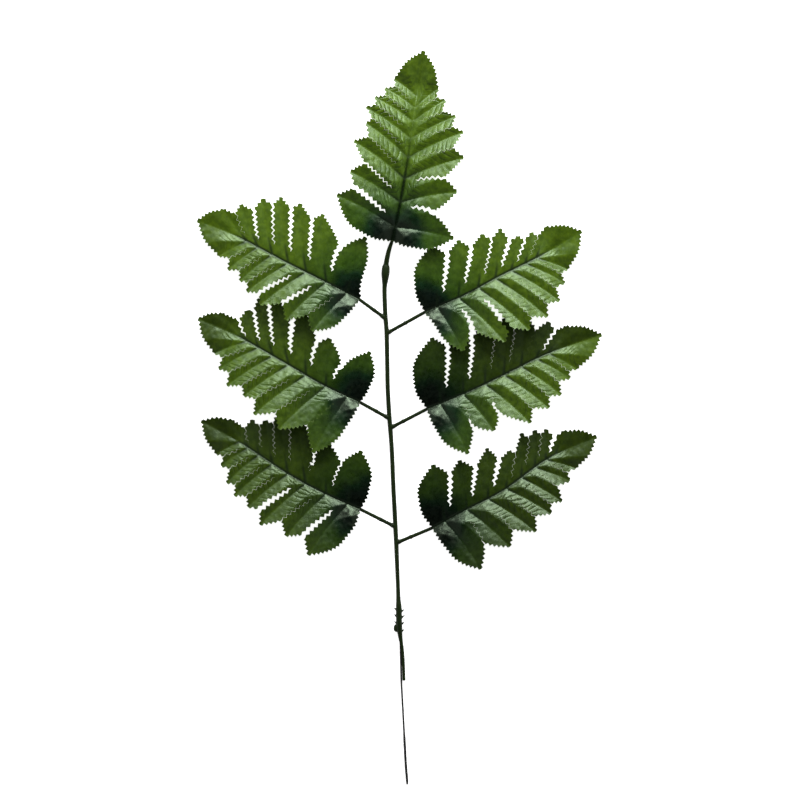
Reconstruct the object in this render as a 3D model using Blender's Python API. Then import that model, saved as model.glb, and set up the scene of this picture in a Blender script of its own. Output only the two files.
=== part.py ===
"""An artificial leather fern spray: a moulded stem on a steel wire, and seven pinked cloth leaves on ribs.

The spray lies on its back in the XY plane, with its tip towards +Y. Everything is in metres.
"""

import math

import bmesh
import bpy
import numpy as np
from mathutils import Matrix, Vector, geometry

# Scale and place of the plan, which is set out in the pixels of an 800 by 800 view from above.
PIXEL = 0.00068
CENTRE_PX = (399.4, 417.7)

# The die that cuts every leaf. Shares run along the midrib or along a side vein, from its root to its tip.
VEIN_ROOTS = (0.075, 0.205, 0.33, 0.44, 0.54, 0.63, 0.70, 0.76)
VEIN_BOW = 0.03
SLIT_START = 0.2
SLIT_LEAN = 0.24
SLIT_LEANS_OVER = 0.5
SLIT_WIDENS_OVER = 0.4
SLIT_END_SHARE = 0.35
SHORTEST_SLIT = 12
CLOSED_SLIT = 0.0006
LOBE_HALF_WIDTH = 0.31
LOBE_POINT = 1.6
TERMINAL_BULGE = 0.1
NECK = 0.0014
FLANK_LEAN = 0.25
FLANK_STEPS = (6, 8, 20)

# Pinked teeth. They are coarser here than the real ones, of 3.7 and 2.9 mm.
SLIT_TOOTH = 0.0072
SLIT_DEPTH = 0.0020
EDGE_TOOTH = 0.0052
EDGE_DEPTH = 0.0014
TOOTH_ROOM = 0.7

# The cloth's thickness, measured upwards, and its relief: valleys at the veins and ridges at the slits.
CLOTH = 0.0008
RELIEF_SLOPE = 0.42
RELIEF_MOST = 0.0030
RIDGE_ROUND = 0.3

# Shares of the midrib and of a side vein at which the cloth has points of its own.
MIDRIB_ENDS = (0.004, 0.80, 0.90)
VEIN_POINTS = (0.6, 0.86)
SLIT_END_STEP = 4

# Heights of a leaf's midrib above the surface: at its base, at its bend, where it rests, and at its tip.
BASE_HEIGHT = 0.0085
BEND_HEIGHT = 0.0140
REST_HEIGHT = 0.0008
REST_SHARE = 0.80
REST_BLEND = 0.16
LEVEL_TIP = (0.70, 0.92)
TIP_HEIGHT = 0.0045
LOBE_CURL = 0.0016
LOBE_REACH = 0.045

# Stem, sockets and wire.
WIRE_RADIUS = 0.00065
WIRE_ROUGH_RADIUS = 0.0009
GAP = 0.0003
FLAT_SHARE = 0.87
STUB_RADIUS = 0.0013
STUB_ROOT_RADIUS = 0.0016
STUB_LIP_RADIUS = 0.00152
STUB_LIP = 0.0014
STUB_LIP_FULL = 0.6
STUB_SWELL = (0.0022, 0.0045)
STUB_START = 0.8
FLAT_DEPTH = 0.8
PIN_RADIUS = 0.00045
PIN_LENGTH = 0.0055
STALK_RADIUS = 0.00125
TOP_STALK_RADIUS = 0.0018
RIB_RADIUS = 0.0011
RIB_END_RADIUS = 0.00045
RIB_END = 0.75
SIDE_RIB_END = 0.3
SIDE_RIB_RADIUS = 0.00035
SIDE_RIB_TAPER = 0.6
SIDE_RIB_SINK = 0.0002
STALK_SHOULDER = 0.0008
PIN_STEP = 0.00001
BORE_OVERRUN = 0.004

# Facets round each kind of piece.
STEM_SIDES = 12
STUB_SIDES = 8
WIRE_SIDES = 8
RIB_SIDES = 6
SIDE_RIB_SIDES = 3

# Colours, linear, with roughness and metallic.
STEM_FINISH = ((0.020, 0.040, 0.012, 1), 0.45, 0.0)
WIRE_FINISH = ((0.012, 0.013, 0.012, 1), 0.5, 0.8)
RIB_FINISH = ((0.018, 0.036, 0.014, 1), 0.5, 0.0)
LEAF_FINISH = ((0.085, 0.145, 0.020, 1), 0.7, 0.0)

# Each leaf in plan: its midrib from base to tip, and the tips of its lobes on its left and right hand, base
# to tip. Gaps are how far the slits between those lobes stand open, in metres, and the rest are closed.
# Swell widens the outer edge of the lobe by the stalk. Lift is how steeply each half rises from the midrib,
# and fold is the share of the full relief that it has.
LEAVES = {
    "top": {
        "midrib": [(392.2, 241), (400.6, 200.5), (407.6, 159.8), (416, 101), (423.7, 50.3)],
        "left": [
            (337, 195), (350.5, 171.5), (354, 141), (366.5, 123), (366, 107), (375, 97), (385, 88),
            (394.5, 78),
        ],
        "right": [
            (453.6, 238.6), (456.9, 192), (463.7, 157.7), (463.4, 132), (455.6, 116), (445.5, 100),
            (438.2, 88),
        ],
        "gaps": {"left": [0.0030, 0.0010], "right": [0.0030, 0.0016]},
        "swell": {"left": 1.1, "right": 1.0},
        "lift": {"left": 0.20, "right": 0.20},
        "fold": {"left": 1.0, "right": 1.0},
    },
    "left_1": {
        "midrib": [(359.3, 299.3), (323.3, 280.7), (286, 262), (236.7, 236), (197, 220)],
        "left": [(312, 331), (286, 320), (260.5, 305), (247, 292), (240, 281), (228, 270), (219, 256)],
        "right": [
            (366, 237), (323, 214), (300.7, 203.3), (281, 196.7), (262.7, 198), (240.7, 204),
            (223, 209),
        ],
        "gaps": {"left": [0, 0.0024, 0.0022], "right": [0.0032, 0.0022, 0.0024, 0.0012, 0.0020]},
        "swell": {"left": 1.0, "right": 0.6},
        "lift": {"left": 0.22, "right": 0.02},
        "fold": {"left": 1.0, "right": 0.3},
    },
    "left_2": {
        "midrib": [(360, 402.3), (323.3, 385), (290, 365.7), (239.3, 337), (198, 318.3)],
        "left": [
            (313, 453), (279, 429), (254, 414.5), (244, 396), (227, 386), (218.5, 369), (214, 353),
        ],
        "right": [
            (370, 351.5), (330, 338.5), (307, 312), (277, 298), (258, 298), (246, 310.5),
            (222, 313),
        ],
        "gaps": {"left": [], "right": [0.0024, 0.0026, 0.0034, 0.0022, 0.0020, 0.0016]},
        "swell": {"left": 0.8, "right": 1.08},
        "lift": {"left": 0.22, "right": 0.02},
        "fold": {"left": 1.0, "right": 0.3},
    },
    "left_3": {
        "midrib": [(360.3, 509.3), (324.3, 493.3), (288.3, 474), (240.3, 442.7), (201, 420.7)],
        "left": [
            (308, 555), (286, 536), (260, 525), (248, 507), (234.5, 496), (226.5, 483), (221, 466),
            (216, 454),
        ],
        "right": [
            (361, 450.5), (329.5, 444), (299, 410), (280, 409), (265, 420.5), (252, 419.5),
            (232, 420),
        ],
        "gaps": {"left": [0.0032, 0, 0.0032], "right": [0.0010]},
        "swell": {"left": 1.05, "right": 1.1},
        "lift": {"left": 0.18, "right": 0.02},
        "fold": {"left": 1.0, "right": 0.3},
    },
    "right_1": {
        "midrib": [(425, 312), (465, 294.7), (498.3, 276.7), (543.7, 254), (581.7, 230.7)],
        "left": [
            (431.7, 245.3), (458.3, 240), (481.7, 234), (500.3, 228), (518.5, 236), (531.7, 232),
            (546, 226.5),
        ],
        "right": [
            (463, 351), (505, 342), (529, 330), (547.5, 317), (559.7, 301), (565, 283), (568, 269),
        ],
        "gaps": {"left": [0.0030, 0.0024, 0.0010, 0.0024, 0.0012], "right": [0.0032, 0.0034]},
        "swell": {"left": 1.15, "right": 0.8},
        "lift": {"left": 0.02, "right": 0.22},
        "fold": {"left": 0.3, "right": 1.0},
    },
    "right_2": {
        "midrib": [(427, 409), (470.3, 391), (509, 372.3), (549, 353), (602, 334.3)],
        "left": [
            (432, 337.5), (457, 333), (482, 323), (504, 318), (524, 314), (549, 321.5), (566, 326),
        ],
        "right": [
            (468, 454), (494, 430.5), (530.5, 423), (549, 408), (561, 395), (570, 378.5),
            (577, 369),
        ],
        "gaps": {"left": [0.0028, 0.0026, 0, 0, 0, 0.0016], "right": []},
        "swell": {"left": 1.22, "right": 1.0},
        "lift": {"left": 0.02, "right": 0.22},
        "fold": {"left": 0.3, "right": 1.0},
    },
    "right_3": {
        "midrib": [(432.5, 528), (466, 509.7), (503.3, 490.3), (548.7, 458.3), (597, 436.3)],
        "left": [
            (433, 464.5), (459.3, 460.3), (487, 448), (509, 451), (521, 433), (535, 430),
            (546, 429), (564, 431),
        ],
        "right": [
            (481, 569), (510, 546.5), (536, 531.5), (551, 513.5), (562, 501.5), (570, 481),
            (576.5, 468),
        ],
        "gaps": {"left": [0.0028, 0.0028, 0.0030, 0, 0, 0, 0.0026], "right": []},
        "swell": {"left": 1.28, "right": 0.92},
        "lift": {"left": 0.02, "right": 0.18},
        "fold": {"left": 0.3, "right": 1.0},
    },
}

# The stem's centre line in plan, from its top face to its tail, with its radius at each point.
STEM_PX = [
    (386.0, 265.0, 0.00225),
    (385.8, 267.5, 0.00272),
    (385.4, 273.5, 0.00286),
    (385.1, 278.5, 0.00240),
    (384.7, 285.0, 0.00172),
    (384.5, 292.0, 0.00160),
    (385.2, 313.0, 0.00160),
    (386.5, 330.0, 0.00160),
    (387.2, 360.0, 0.00156),
    (387.8, 390.0, 0.00156),
    (389.6, 420.0, 0.00160),
    (391.8, 450.0, 0.00156),
    (393.5, 490.0, 0.00156),
    (395.1, 520.0, 0.00160),
    (396.5, 550.0, 0.00156),
    (397.9, 585.0, 0.00142),
    (398.4, 600.0, 0.00160),
    (398.8, 607.0, 0.00200),
    (399.0, 620.0, 0.00204),
    (399.6, 630.0, 0.00190),
    (400.6, 639.0, 0.00145),
    (402.0, 648.0, 0.00122),
    (403.1, 660.0, 0.00115),
    (403.9, 681.0, 0.00115),
]
STUB_CORE_RADIUS = 0.00160

# The wire's centre line below the stem's core, with its height, and where its upper end stops in the stem.
WIRE_TOP_PX = 299.0
WIRE_LEAVES_PX = 625.0
WIRE_PX = [
    (400.2, 640.0, 0.00130),
    (400.8, 660.0, 0.00115),
    (401.3, 681.0, 0.00105),
    (401.9, 692.0, 0.00100),
    (403.2, 715.5, 0.00095),
    (404.1, 733.0, 0.00095),
    (404.6, 742.0, 0.00095),
    (405.7, 763.0, 0.00095),
    (407.0, 780.0, 0.00092),
    (407.3, 785.0, 0.00090),
]
WIRE_ROUGH_PX = (738.0, 782.0)
WIRE_BORE_END_PX = 700.0

# Branches: where each leaves the stem, and the share of the way to the leaf at which its socket ends.
BRANCHES = {
    "left_1": ((385.6, 318.5), 0.45),
    "right_1": ((386.6, 333.3), 0.50),
    "left_2": ((389.4, 418.6), 0.46),
    "right_2": ((390.3, 428.0), 0.37),
    "left_3": ((395.4, 527.0), 0.44),
    "right_3": ((396.2, 543.2), 0.42),
}
TOP_STALK_PX = [(387.3, 257.0, 0.00165), (389.4, 248.5, 0.00148)]

# Barbs: tips in plan, the drop from tip to root and how far the root is sunk, then the lump of flash.
BARB_TIPS_PX = [
    (405.7, 608.6),
    (406.1, 614.6),
    (405.9, 621.2),
    (405.5, 628.7),
    (393.0, 607.4),
    (392.8, 613.7),
    (393.2, 620.8),
]
BARB_DROP = 0.0020
BARB_ROOT = 0.0018
BARB_HEAD = 0.0005
BARB_HALF_HEIGHT = 0.0008
BARB_HEIGHT = 0.0017
BARB_CORE_PX = 399.2
BARB_INSIDE = 0.0012
FLASH_PX = (395.8, 628.6)
FLASH_HEIGHT = 0.0016
FLASH_RADII = (0.0016, 0.0027, 0.0008)


def clear_scene():
    """Start from an empty scene."""
    for obj in list(bpy.data.objects):
        bpy.data.objects.remove(obj, do_unlink=True)


def plan(x_px, y_px):
    """A plan point in metres."""
    return ((x_px - CENTRE_PX[0]) * PIXEL, (CENTRE_PX[1] - y_px) * PIXEL)


def material(name, finish):
    """A Principled material of one colour."""
    colour, roughness, metallic = finish
    mat = bpy.data.materials.new(name)
    mat.use_nodes = True
    shader = mat.node_tree.nodes["Principled BSDF"]
    shader.inputs["Base Color"].default_value = colour
    shader.inputs["Roughness"].default_value = roughness
    shader.inputs["Metallic"].default_value = metallic
    mat.diffuse_color = colour
    return mat


def add_object(name, verts, faces, finish, smooth_below=None):
    """A named mesh object with its own material."""
    mesh = bpy.data.meshes.new(name)
    mesh.from_pydata([tuple(v) for v in verts], [], [tuple(f) for f in faces])
    obj = bpy.data.objects.new(name, mesh)
    bpy.context.scene.collection.objects.link(obj)
    mesh.materials.append(material(name, finish))
    if smooth_below:
        mesh.shade_smooth()
        mesh.set_sharp_from_angle(angle=math.radians(smooth_below))
    return obj


def length_of(line):
    """Length of a line of points."""
    return float(np.linalg.norm(np.diff(line, axis=0), axis=1).sum())


def resample(line, count):
    """The same plan line as count + 1 points at equal steps of length, with any further columns."""
    run = np.concatenate([[0], np.cumsum(np.linalg.norm(np.diff(line[:, :2], axis=0), axis=1))])
    at = np.linspace(0, run[-1], count + 1)
    return np.column_stack([np.interp(at, run, column) for column in line.T])


def spline(points, count):
    """A Catmull-Rom curve through the points, as count + 1 evenly spaced points."""
    p = np.array(points, float)
    p = np.vstack([2 * p[0] - p[1], p, 2 * p[-1] - p[-2]])
    t = np.linspace(0, 1, 12, endpoint=False)[:, None]
    runs = []
    for a, b, c, d in zip(p, p[1:], p[2:], p[3:]):
        cubic = 3 * b - a - 3 * c + d
        square = 2 * a - 5 * b + 4 * c - d
        runs.append(b + 0.5 * ((c - a) * t + square * t**2 + cubic * t**3))
    return resample(np.vstack(runs + [p[-2:-1]]), count)


def along(line, share):
    """Points at shares of an evenly spaced line."""
    at = np.clip(share, 0, 1) * (len(line) - 1)
    return np.column_stack([np.interp(at, np.arange(len(line)), column) for column in line.T])


def right_hand(line):
    """Unit vectors to the right of a plan line, as one walks it."""
    step = np.gradient(line, axis=0)
    step /= np.linalg.norm(step, axis=1)[:, None]
    return np.column_stack([step[:, 1], -step[:, 0]])


def nearest(points, line):
    """Distance of each plan point from a line, the share of the line there, and the side: +1 is right."""
    start, step = line[:-1], np.diff(line, axis=0)
    offset = points[:, None, :] - start[None]
    t = np.clip((offset * step).sum(2) / (step * step).sum(1), 0, 1)
    gap = np.linalg.norm(offset - t[:, :, None] * step, axis=2)
    best = gap.argmin(axis=1)
    row = np.arange(len(points))
    share = (best + t[row, best]) / len(step)
    cross = step[best, 1] * offset[row, best, 0] - step[best, 0] * offset[row, best, 1]
    return gap[row, best], share, np.where(cross > 0, 1.0, -1.0)


def pinked(line, pitch, depth, hand, room=None):
    """A line with zigzag teeth across it, the first of them to the given hand; its ends stay.

    Room is how far those teeth may reach at each point of the line, where something is close.
    """
    count = 2 * max(1, round(length_of(line) / pitch))
    out = resample(line, count)
    reach = np.full(count + 1, depth / 2)
    if room is not None:
        reach = np.minimum(reach, resample(np.column_stack([line, room]), count)[:, 2])
    push = np.where(np.arange(count + 1) % 2, reach, -depth / 2) * hand
    push[[0, -1]] = 0
    return out + right_hand(out) * push[:, None]


def lobe_width(vein, share):
    """Half the width of a lobe along its vein, which ends in a blunt point."""
    most = length_of(vein) * LOBE_HALF_WIDTH
    from_tip = (1 - share) * length_of(vein)
    return most * (1 - np.clip(1 - from_tip / (LOBE_POINT * most), 0, 1) ** 2)


class Leaf:
    """The plan and the relief of one leaf."""

    def __init__(self, spec):
        self.midrib = spline([plan(*p) for p in spec["midrib"]], 80)
        self.veins = {hand: self.vein_lines(spec[hand]) for hand in ("left", "right")}
        self.gaps = spec["gaps"]
        self.swell = spec["swell"]
        self.lift = spec["lift"]
        self.fold = spec["fold"]

    def vein_lines(self, tips_px):
        """Side veins from the midrib to the lobe tips, bowed a little forwards."""
        ahead = self.midrib[-1] - self.midrib[0]
        ahead /= np.linalg.norm(ahead)
        t = np.linspace(0, 1, 41)[:, None]
        lines = []
        for root_share, tip_px in zip(VEIN_ROOTS, tips_px):
            root = along(self.midrib, np.array([root_share]))[0]
            reach = np.array(plan(*tip_px)) - root
            bow = ahead * VEIN_BOW * np.linalg.norm(reach)
            lines.append(root + reach * t + bow * 4 * t * (1 - t))
        return lines

    def half_outline(self, hand):
        """One half of the outline from base to tip: pinked lobes, with zigzag slits between them."""
        side = 1.0 if hand == "right" else -1.0
        share = np.linspace(SLIT_START, 1, 81)
        veins = self.veins[hand]
        at = [along(v, share) for v in veins]
        wide = [lobe_width(v, share) for v in veins]
        outer = at[0] + right_hand(at[0]) * (side * self.swell[hand] * wide[0])[:, None]
        base = self.midrib[0] + right_hand(self.midrib)[0] * side * NECK
        back, join, kept = FLANK_STEPS
        flank = (base + outer[0]) / 2 + (outer[0] - outer[back]) * FLANK_LEAN
        lead = spline([base, flank, outer[0], outer[join]], 30)[:kept]
        runs = [pinked(np.vstack([lead, outer[join:]]), EDGE_TOOTH, EDGE_DEPTH, side)]
        for k in range(len(veins) - 1):
            runs += self.slit(at[k], at[k + 1], wide[k], wide[k + 1], share, self.slit_gap(hand, k), side)
        shoulder, tip = veins[-1][-1], self.midrib[-1]
        chord = tip - shoulder
        bulge = np.array([chord[1], -chord[0]]) * side * TERMINAL_BULGE
        arch = spline([shoulder, (shoulder + tip) / 2 + bulge, tip], 30)
        runs.append(pinked(arch, EDGE_TOOTH, EDGE_DEPTH, side)[1:])
        return np.vstack(runs)

    def slit_gap(self, hand, k):
        """How far slit k stands open."""
        gaps = self.gaps[hand]
        return max(gaps[k] if k < len(gaps) else 0, CLOSED_SLIT)

    @staticmethod
    def slit(here, there, wide_here, wide_there, share, gap, side):
        """The run from one lobe's tip, down into the slit, and out to the next lobe's tip."""
        lean = side * SLIT_LEAN * np.clip(1 - (share - SLIT_START) / SLIT_LEANS_OVER, 0, 1)
        middle = here + (there - here) * (0.5 + lean)[:, None]
        across = (there - here) / 2
        distance = np.linalg.norm(across, axis=1)
        widening = np.clip((share - SLIT_START) / SLIT_WIDENS_OVER, 0, 1)
        half = gap / 2 * (SLIT_END_SHARE + (1 - SLIT_END_SHARE) * widening)
        room = distance - half
        mouth = max(SHORTEST_SLIT, int(np.argmax((wide_here < room) | (wide_there < room))))
        cut = pinked(middle[: mouth + 1], SLIT_TOOTH, SLIT_DEPTH, 1)
        toward = right_hand(resample(middle[: mouth + 1], len(cut) - 1))
        flip = -np.sign((across[mouth] * toward[-1]).sum())
        opening = np.interp(np.linspace(0, mouth, len(cut)), np.arange(mouth + 1), half[: mouth + 1])
        opening[0] = 0
        shift = toward * flip * opening[:, None]
        unit = across / distance[:, None]
        reach_here, reach_there = np.minimum(room, wide_here), np.minimum(room, wide_there)
        edge_here = (here + unit * reach_here[:, None])[mouth:][::-1]
        edge_there = (there - unit * reach_there[:, None])[mouth:]
        free_here = TOOTH_ROOM * (distance - reach_here)[mouth:][::-1]
        free_there = TOOTH_ROOM * (distance - reach_there)[mouth:]
        return [
            pinked(edge_here, EDGE_TOOTH, EDGE_DEPTH, side, free_here)[1:],
            (cut + shift)[::-1][1:],
            (cut - shift)[1:],
            pinked(edge_there, EDGE_TOOTH, EDGE_DEPTH, side, free_there)[1:],
        ]

    def outline(self):
        """The whole outline as one closed loop of plan points."""
        return np.vstack([self.half_outline("right"), self.half_outline("left")[::-1][1:]])

    @staticmethod
    def midrib_height(share):
        """Height of the cloth's upper face along the midrib."""
        on = share / REST_SHARE
        arch = (1 - on) ** 2 * BASE_HEIGHT + 2 * on * (1 - on) * BEND_HEIGHT + on**2 * REST_HEIGHT
        slope = (TIP_HEIGHT - REST_HEIGHT) / (1 - REST_SHARE)
        rising = REST_HEIGHT + (share - REST_SHARE) * slope
        t = np.clip((share - REST_SHARE) / REST_BLEND + 0.5, 0, 1)
        past = t * t * (3 - 2 * t)
        return arch * (1 - past) + rising * past

    def height(self, points):
        """Height of the cloth's upper face over plan points."""
        off, share, side = nearest(points, self.midrib)
        out = self.midrib_height(share)
        t = np.clip((share - LEVEL_TIP[0]) / (LEVEL_TIP[1] - LEVEL_TIP[0]), 0, 1)
        level = t * t * (3 - 2 * t)
        for hand, sign in (("left", -1.0), ("right", 1.0)):
            mine = side == sign
            if not mine.any():
                continue
            p, v = points[mine], off[mine]
            gaps = np.array([v] + [nearest(p, line)[0] for line in self.veins[hand]])
            first, second = np.sort(gaps, axis=0)[:2]
            half = (first + second) / 2
            across = first / np.maximum(half, 1e-9)
            ridge = RIDGE_ROUND * np.sin(np.pi / 2 * across) + (1 - RIDGE_ROUND) * across
            relief = self.fold[hand] * np.minimum(RELIEF_MOST, RELIEF_SLOPE * half) * ridge
            rise = self.lift[hand] * v - LOBE_CURL * (v / LOBE_REACH) ** 2
            out[mine] += (1 - level[mine]) * rise + relief
        return out


def triangulated(outline, chains, extra):
    """Triangles inside an outline that keep to chains of inner points, and use the extra points."""
    points = [Vector(p) for p in outline]
    count = len(points)
    edges = [(k, (k + 1) % count) for k in range(count)]
    for chain in chains:
        start = len(points)
        points += [Vector(p) for p in chain]
        edges += [(k, k + 1) for k in range(start, len(points) - 1)]
    points += [Vector(p) for p in extra]
    verts, _, faces, *_ = geometry.delaunay_2d_cdt(points, edges, [], 1, 1e-7)
    return np.array([tuple(v) for v in verts]), [tuple(f) for f in faces]


def thickened(plan_points, faces, top, depth):
    """A closed sheet: the triangles on top, the same ones below, and a wall along the open edges."""
    count = len(plan_points)
    verts = np.vstack([np.column_stack([plan_points, top]), np.column_stack([plan_points, top - depth])])
    halves = {(f[i], f[(i + 1) % 3]) for f in faces for i in range(3)}
    rim = [(a, b) for a, b in halves if (b, a) not in halves]
    out = list(faces) + [(c + count, b + count, a + count) for a, b, c in faces]
    for a, b in sorted(rim):
        out += [(b, a, a + count), (b, a + count, b + count)]
    return verts, out


def midrib_stations():
    """Shares along the midrib where the cloth and the rib both have points."""
    middles = [(a + b) / 2 for a, b in zip((0,) + VEIN_ROOTS, VEIN_ROOTS)]
    return sorted([*MIDRIB_ENDS, *VEIN_ROOTS, *middles])


def make_leaf(name, leaf):
    """The leaf cloth."""
    chains = [along(leaf.midrib, np.array(midrib_stations()))]
    extra = []
    for veins in leaf.veins.values():
        chains += [along(v, np.array([SIDE_RIB_END, *VEIN_POINTS])) for v in veins]
        roots = [v[SLIT_END_STEP] for v in veins]
        extra += [tuple((a + b) / 2) for a, b in zip(roots, roots[1:])]
    points, faces = triangulated(leaf.outline(), chains, extra)
    verts, faces = thickened(points, faces, leaf.height(points), CLOTH)
    return add_object(f"leaf_{name}", verts, faces, LEAF_FINISH, smooth_below=60)


def ring(centre, ahead, radius, sides, turn=0.0):
    """A ring of points round a centre, square to the way ahead."""
    ahead = Vector(ahead).normalized()
    across = ahead.cross(Vector((0, 0, 1))).normalized()
    up = across.cross(ahead)
    angles = [turn + 2 * math.pi * k / sides for k in range(sides)]
    return [Vector(centre) + (across * math.cos(a) + up * math.sin(a)) * float(radius) for a in angles]


def tube(path, radii, sides, flat=False):
    """Vertices and faces of a closed tube along a path. A flat one has its lowest points at z = 0."""
    verts, faces = [], []
    path = [Vector(p) for p in path]
    for k, (centre, radius) in enumerate(zip(path, radii)):
        ahead = path[min(k + 1, len(path) - 1)] - path[max(k - 1, 0)]
        points = ring(centre, ahead, radius, sides)
        if flat:
            for point in points:
                point.z = 0.0 if point.z < centre.z - FLAT_DEPTH * radius else point.z
        verts += points
    for k in range(len(path) - 1):
        a, b = k * sides, (k + 1) * sides
        for i in range(sides):
            j = (i + 1) % sides
            faces.append((a + i, a + j, b + j, b + i))
    faces.append(tuple(range(sides))[::-1])
    faces.append(tuple(range(len(verts) - sides, len(verts))))
    return verts, faces


def guide(name, verts, faces):
    """A closed shape that only cuts or joins another."""
    obj = add_object(name, verts, faces, STEM_FINISH)
    face_out(obj)
    obj.hide_render = True
    obj.display_type = "WIRE"
    return obj


def face_out(obj):
    """Turn every face of a closed mesh outwards."""
    bm = bmesh.new()
    bm.from_mesh(obj.data)
    bmesh.ops.recalc_face_normals(bm, faces=bm.faces)
    bm.to_mesh(obj.data)
    bm.free()


def combine(obj, others, operation):
    """Apply one Boolean with all the others, and remove them."""
    group = bpy.data.collections.new(f"{obj.name}_{operation.lower()}")
    for other in others:
        group.objects.link(other)
    step = obj.modifiers.new(operation.title(), "BOOLEAN")
    step.operation = operation
    step.operand_type = "COLLECTION"
    step.collection = group
    step.solver = "EXACT"
    depsgraph = bpy.context.evaluated_depsgraph_get()
    mesh = bpy.data.meshes.new_from_object(obj.evaluated_get(depsgraph))
    obj.modifiers.clear()
    obj.data = mesh
    for other in others:
        bpy.data.objects.remove(other, do_unlink=True)
    bpy.data.collections.remove(group)


def stem_line():
    """The stem's centre line in space, level at its top face, and its radius at each point."""
    plan_points = [plan(x, y) for x, y, _ in STEM_PX]
    radii = [r for _, _, r in STEM_PX]
    heights = [FLAT_SHARE * r for r in radii]
    heights[0] = heights[1]
    return [(x, y, z) for (x, y), z in zip(plan_points, heights)], radii


def wire_line():
    """The wire's centre line: along the stem's core, then out beside its tail."""
    core, _ = stem_line()
    top = plan(0, WIRE_TOP_PX)[1]
    leaves = plan(0, WIRE_LEAVES_PX)[1]
    xs, ys, zs = zip(*core)
    ys_up = ys[::-1]
    start = (np.interp(top, ys_up, xs[::-1]), top, np.interp(top, ys_up, zs[::-1]))
    inner = [p for p in core if leaves < p[1] < top]
    outer = [(*plan(x, y), z) for x, y, z in WIRE_PX]
    return [start] + inner + outer


def stub_line(name, rib_start):
    """The straight axis of a socket: its root in the stem, its end, and the way ahead."""
    (x, y), share = BRANCHES[name]
    root = Vector((*plan(x, y), FLAT_SHARE * STUB_CORE_RADIUS))
    ahead = Vector(rib_start) - root
    return root, root + ahead * share, ahead.normalized()


def rib_path(leaf):
    """The rib's centre line under the cloth, and its radius at each point."""
    shares = np.array([s for s in midrib_stations() if s <= RIB_END])
    points = along(leaf.midrib, shares)
    radii = RIB_RADIUS + (RIB_END_RADIUS - RIB_RADIUS) * shares / RIB_END
    heights = leaf.height(points) - CLOTH - GAP - radii
    return np.column_stack([points, heights]), radii


def pin_start(name, leaf):
    """Where a leaf's stalk meets its socket, and the way ahead there."""
    rib, _ = rib_path(leaf)
    if name == "top":
        line, _ = stem_line()
        top, below = Vector(line[0]), Vector(line[1])
        return top, (top - below).normalized()
    _, end, ahead = stub_line(name, rib[0])
    return end, ahead


def make_rib(name, leaf):
    """The stalk with its pin, the rib and its side ribs, in one piece."""
    end, ahead = pin_start(name, leaf)
    rib, rib_radii = rib_path(leaf)
    radius = TOP_STALK_RADIUS if name == "top" else STALK_RADIUS
    shoulder = end + ahead * GAP
    path = [end - ahead * PIN_LENGTH, shoulder - ahead * PIN_STEP, shoulder]
    path.append(shoulder + ahead * STALK_SHOULDER)
    radii = [PIN_RADIUS, PIN_RADIUS, radius, radius]
    if name == "top":
        heights = np.linspace(path[-1].z, rib[0][2], len(TOP_STALK_PX) + 2)[1:-1]
        path += [Vector((*plan(x, y), z)) for (x, y, _), z in zip(TOP_STALK_PX, heights)]
        radii += [r for _, _, r in TOP_STALK_PX]
    path += [Vector(p) for p in rib]
    radii += list(rib_radii)
    verts, faces = tube(path, radii, RIB_SIDES)
    obj = add_object(f"rib_{name}", verts, faces, RIB_FINISH, smooth_below=40)
    face_out(obj)
    side_ribs = []
    for hand, veins in leaf.veins.items():
        for k, vein in enumerate(veins[:-1]):
            ends = along(vein, np.array([0.0, SIDE_RIB_END]))
            drop = CLOTH + GAP + SIDE_RIB_RADIUS + SIDE_RIB_SINK
            points = np.column_stack([ends, leaf.height(ends) - drop])
            shape = tube(points, [SIDE_RIB_RADIUS, SIDE_RIB_TAPER * SIDE_RIB_RADIUS], SIDE_RIB_SIDES)
            side_ribs.append(guide(f"side_rib_{name}_{hand}_{k}", *shape))
    combine(obj, side_ribs, "UNION")
    return obj


def make_barb(index, tip_px):
    """One barb of the stem: a four-sided point that leans towards the stem's top."""
    tip = Vector((*plan(*tip_px), 0))
    core = plan(BARB_CORE_PX, tip_px[1])[0]
    inner = core - math.copysign(BARB_INSIDE, core - tip.x)
    root = tip.y - BARB_DROP
    levels = (BARB_HEIGHT - BARB_HALF_HEIGHT, BARB_HEIGHT + BARB_HALF_HEIGHT)
    verts = [(inner, y, z) for z in levels for y in (root - BARB_ROOT, root + BARB_HEAD)]
    verts.append((tip.x, tip.y, BARB_HEIGHT))
    faces = [(0, 1, 3, 2), (0, 1, 4), (1, 3, 4), (3, 2, 4), (2, 0, 4)]
    return guide(f"barb_{index}", verts, faces)


def make_flash():
    """The lump of flash on the left of the barbs."""
    bm = bmesh.new()
    bmesh.ops.create_icosphere(bm, subdivisions=1, radius=1.0, matrix=Matrix.Diagonal((*FLASH_RADII, 1)))
    centre = Vector((*plan(*FLASH_PX), FLASH_HEIGHT))
    verts = [v.co + centre for v in bm.verts]
    faces = [[v.index for v in f.verts] for f in bm.faces]
    bm.free()
    return guide("flash", verts, faces)


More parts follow.
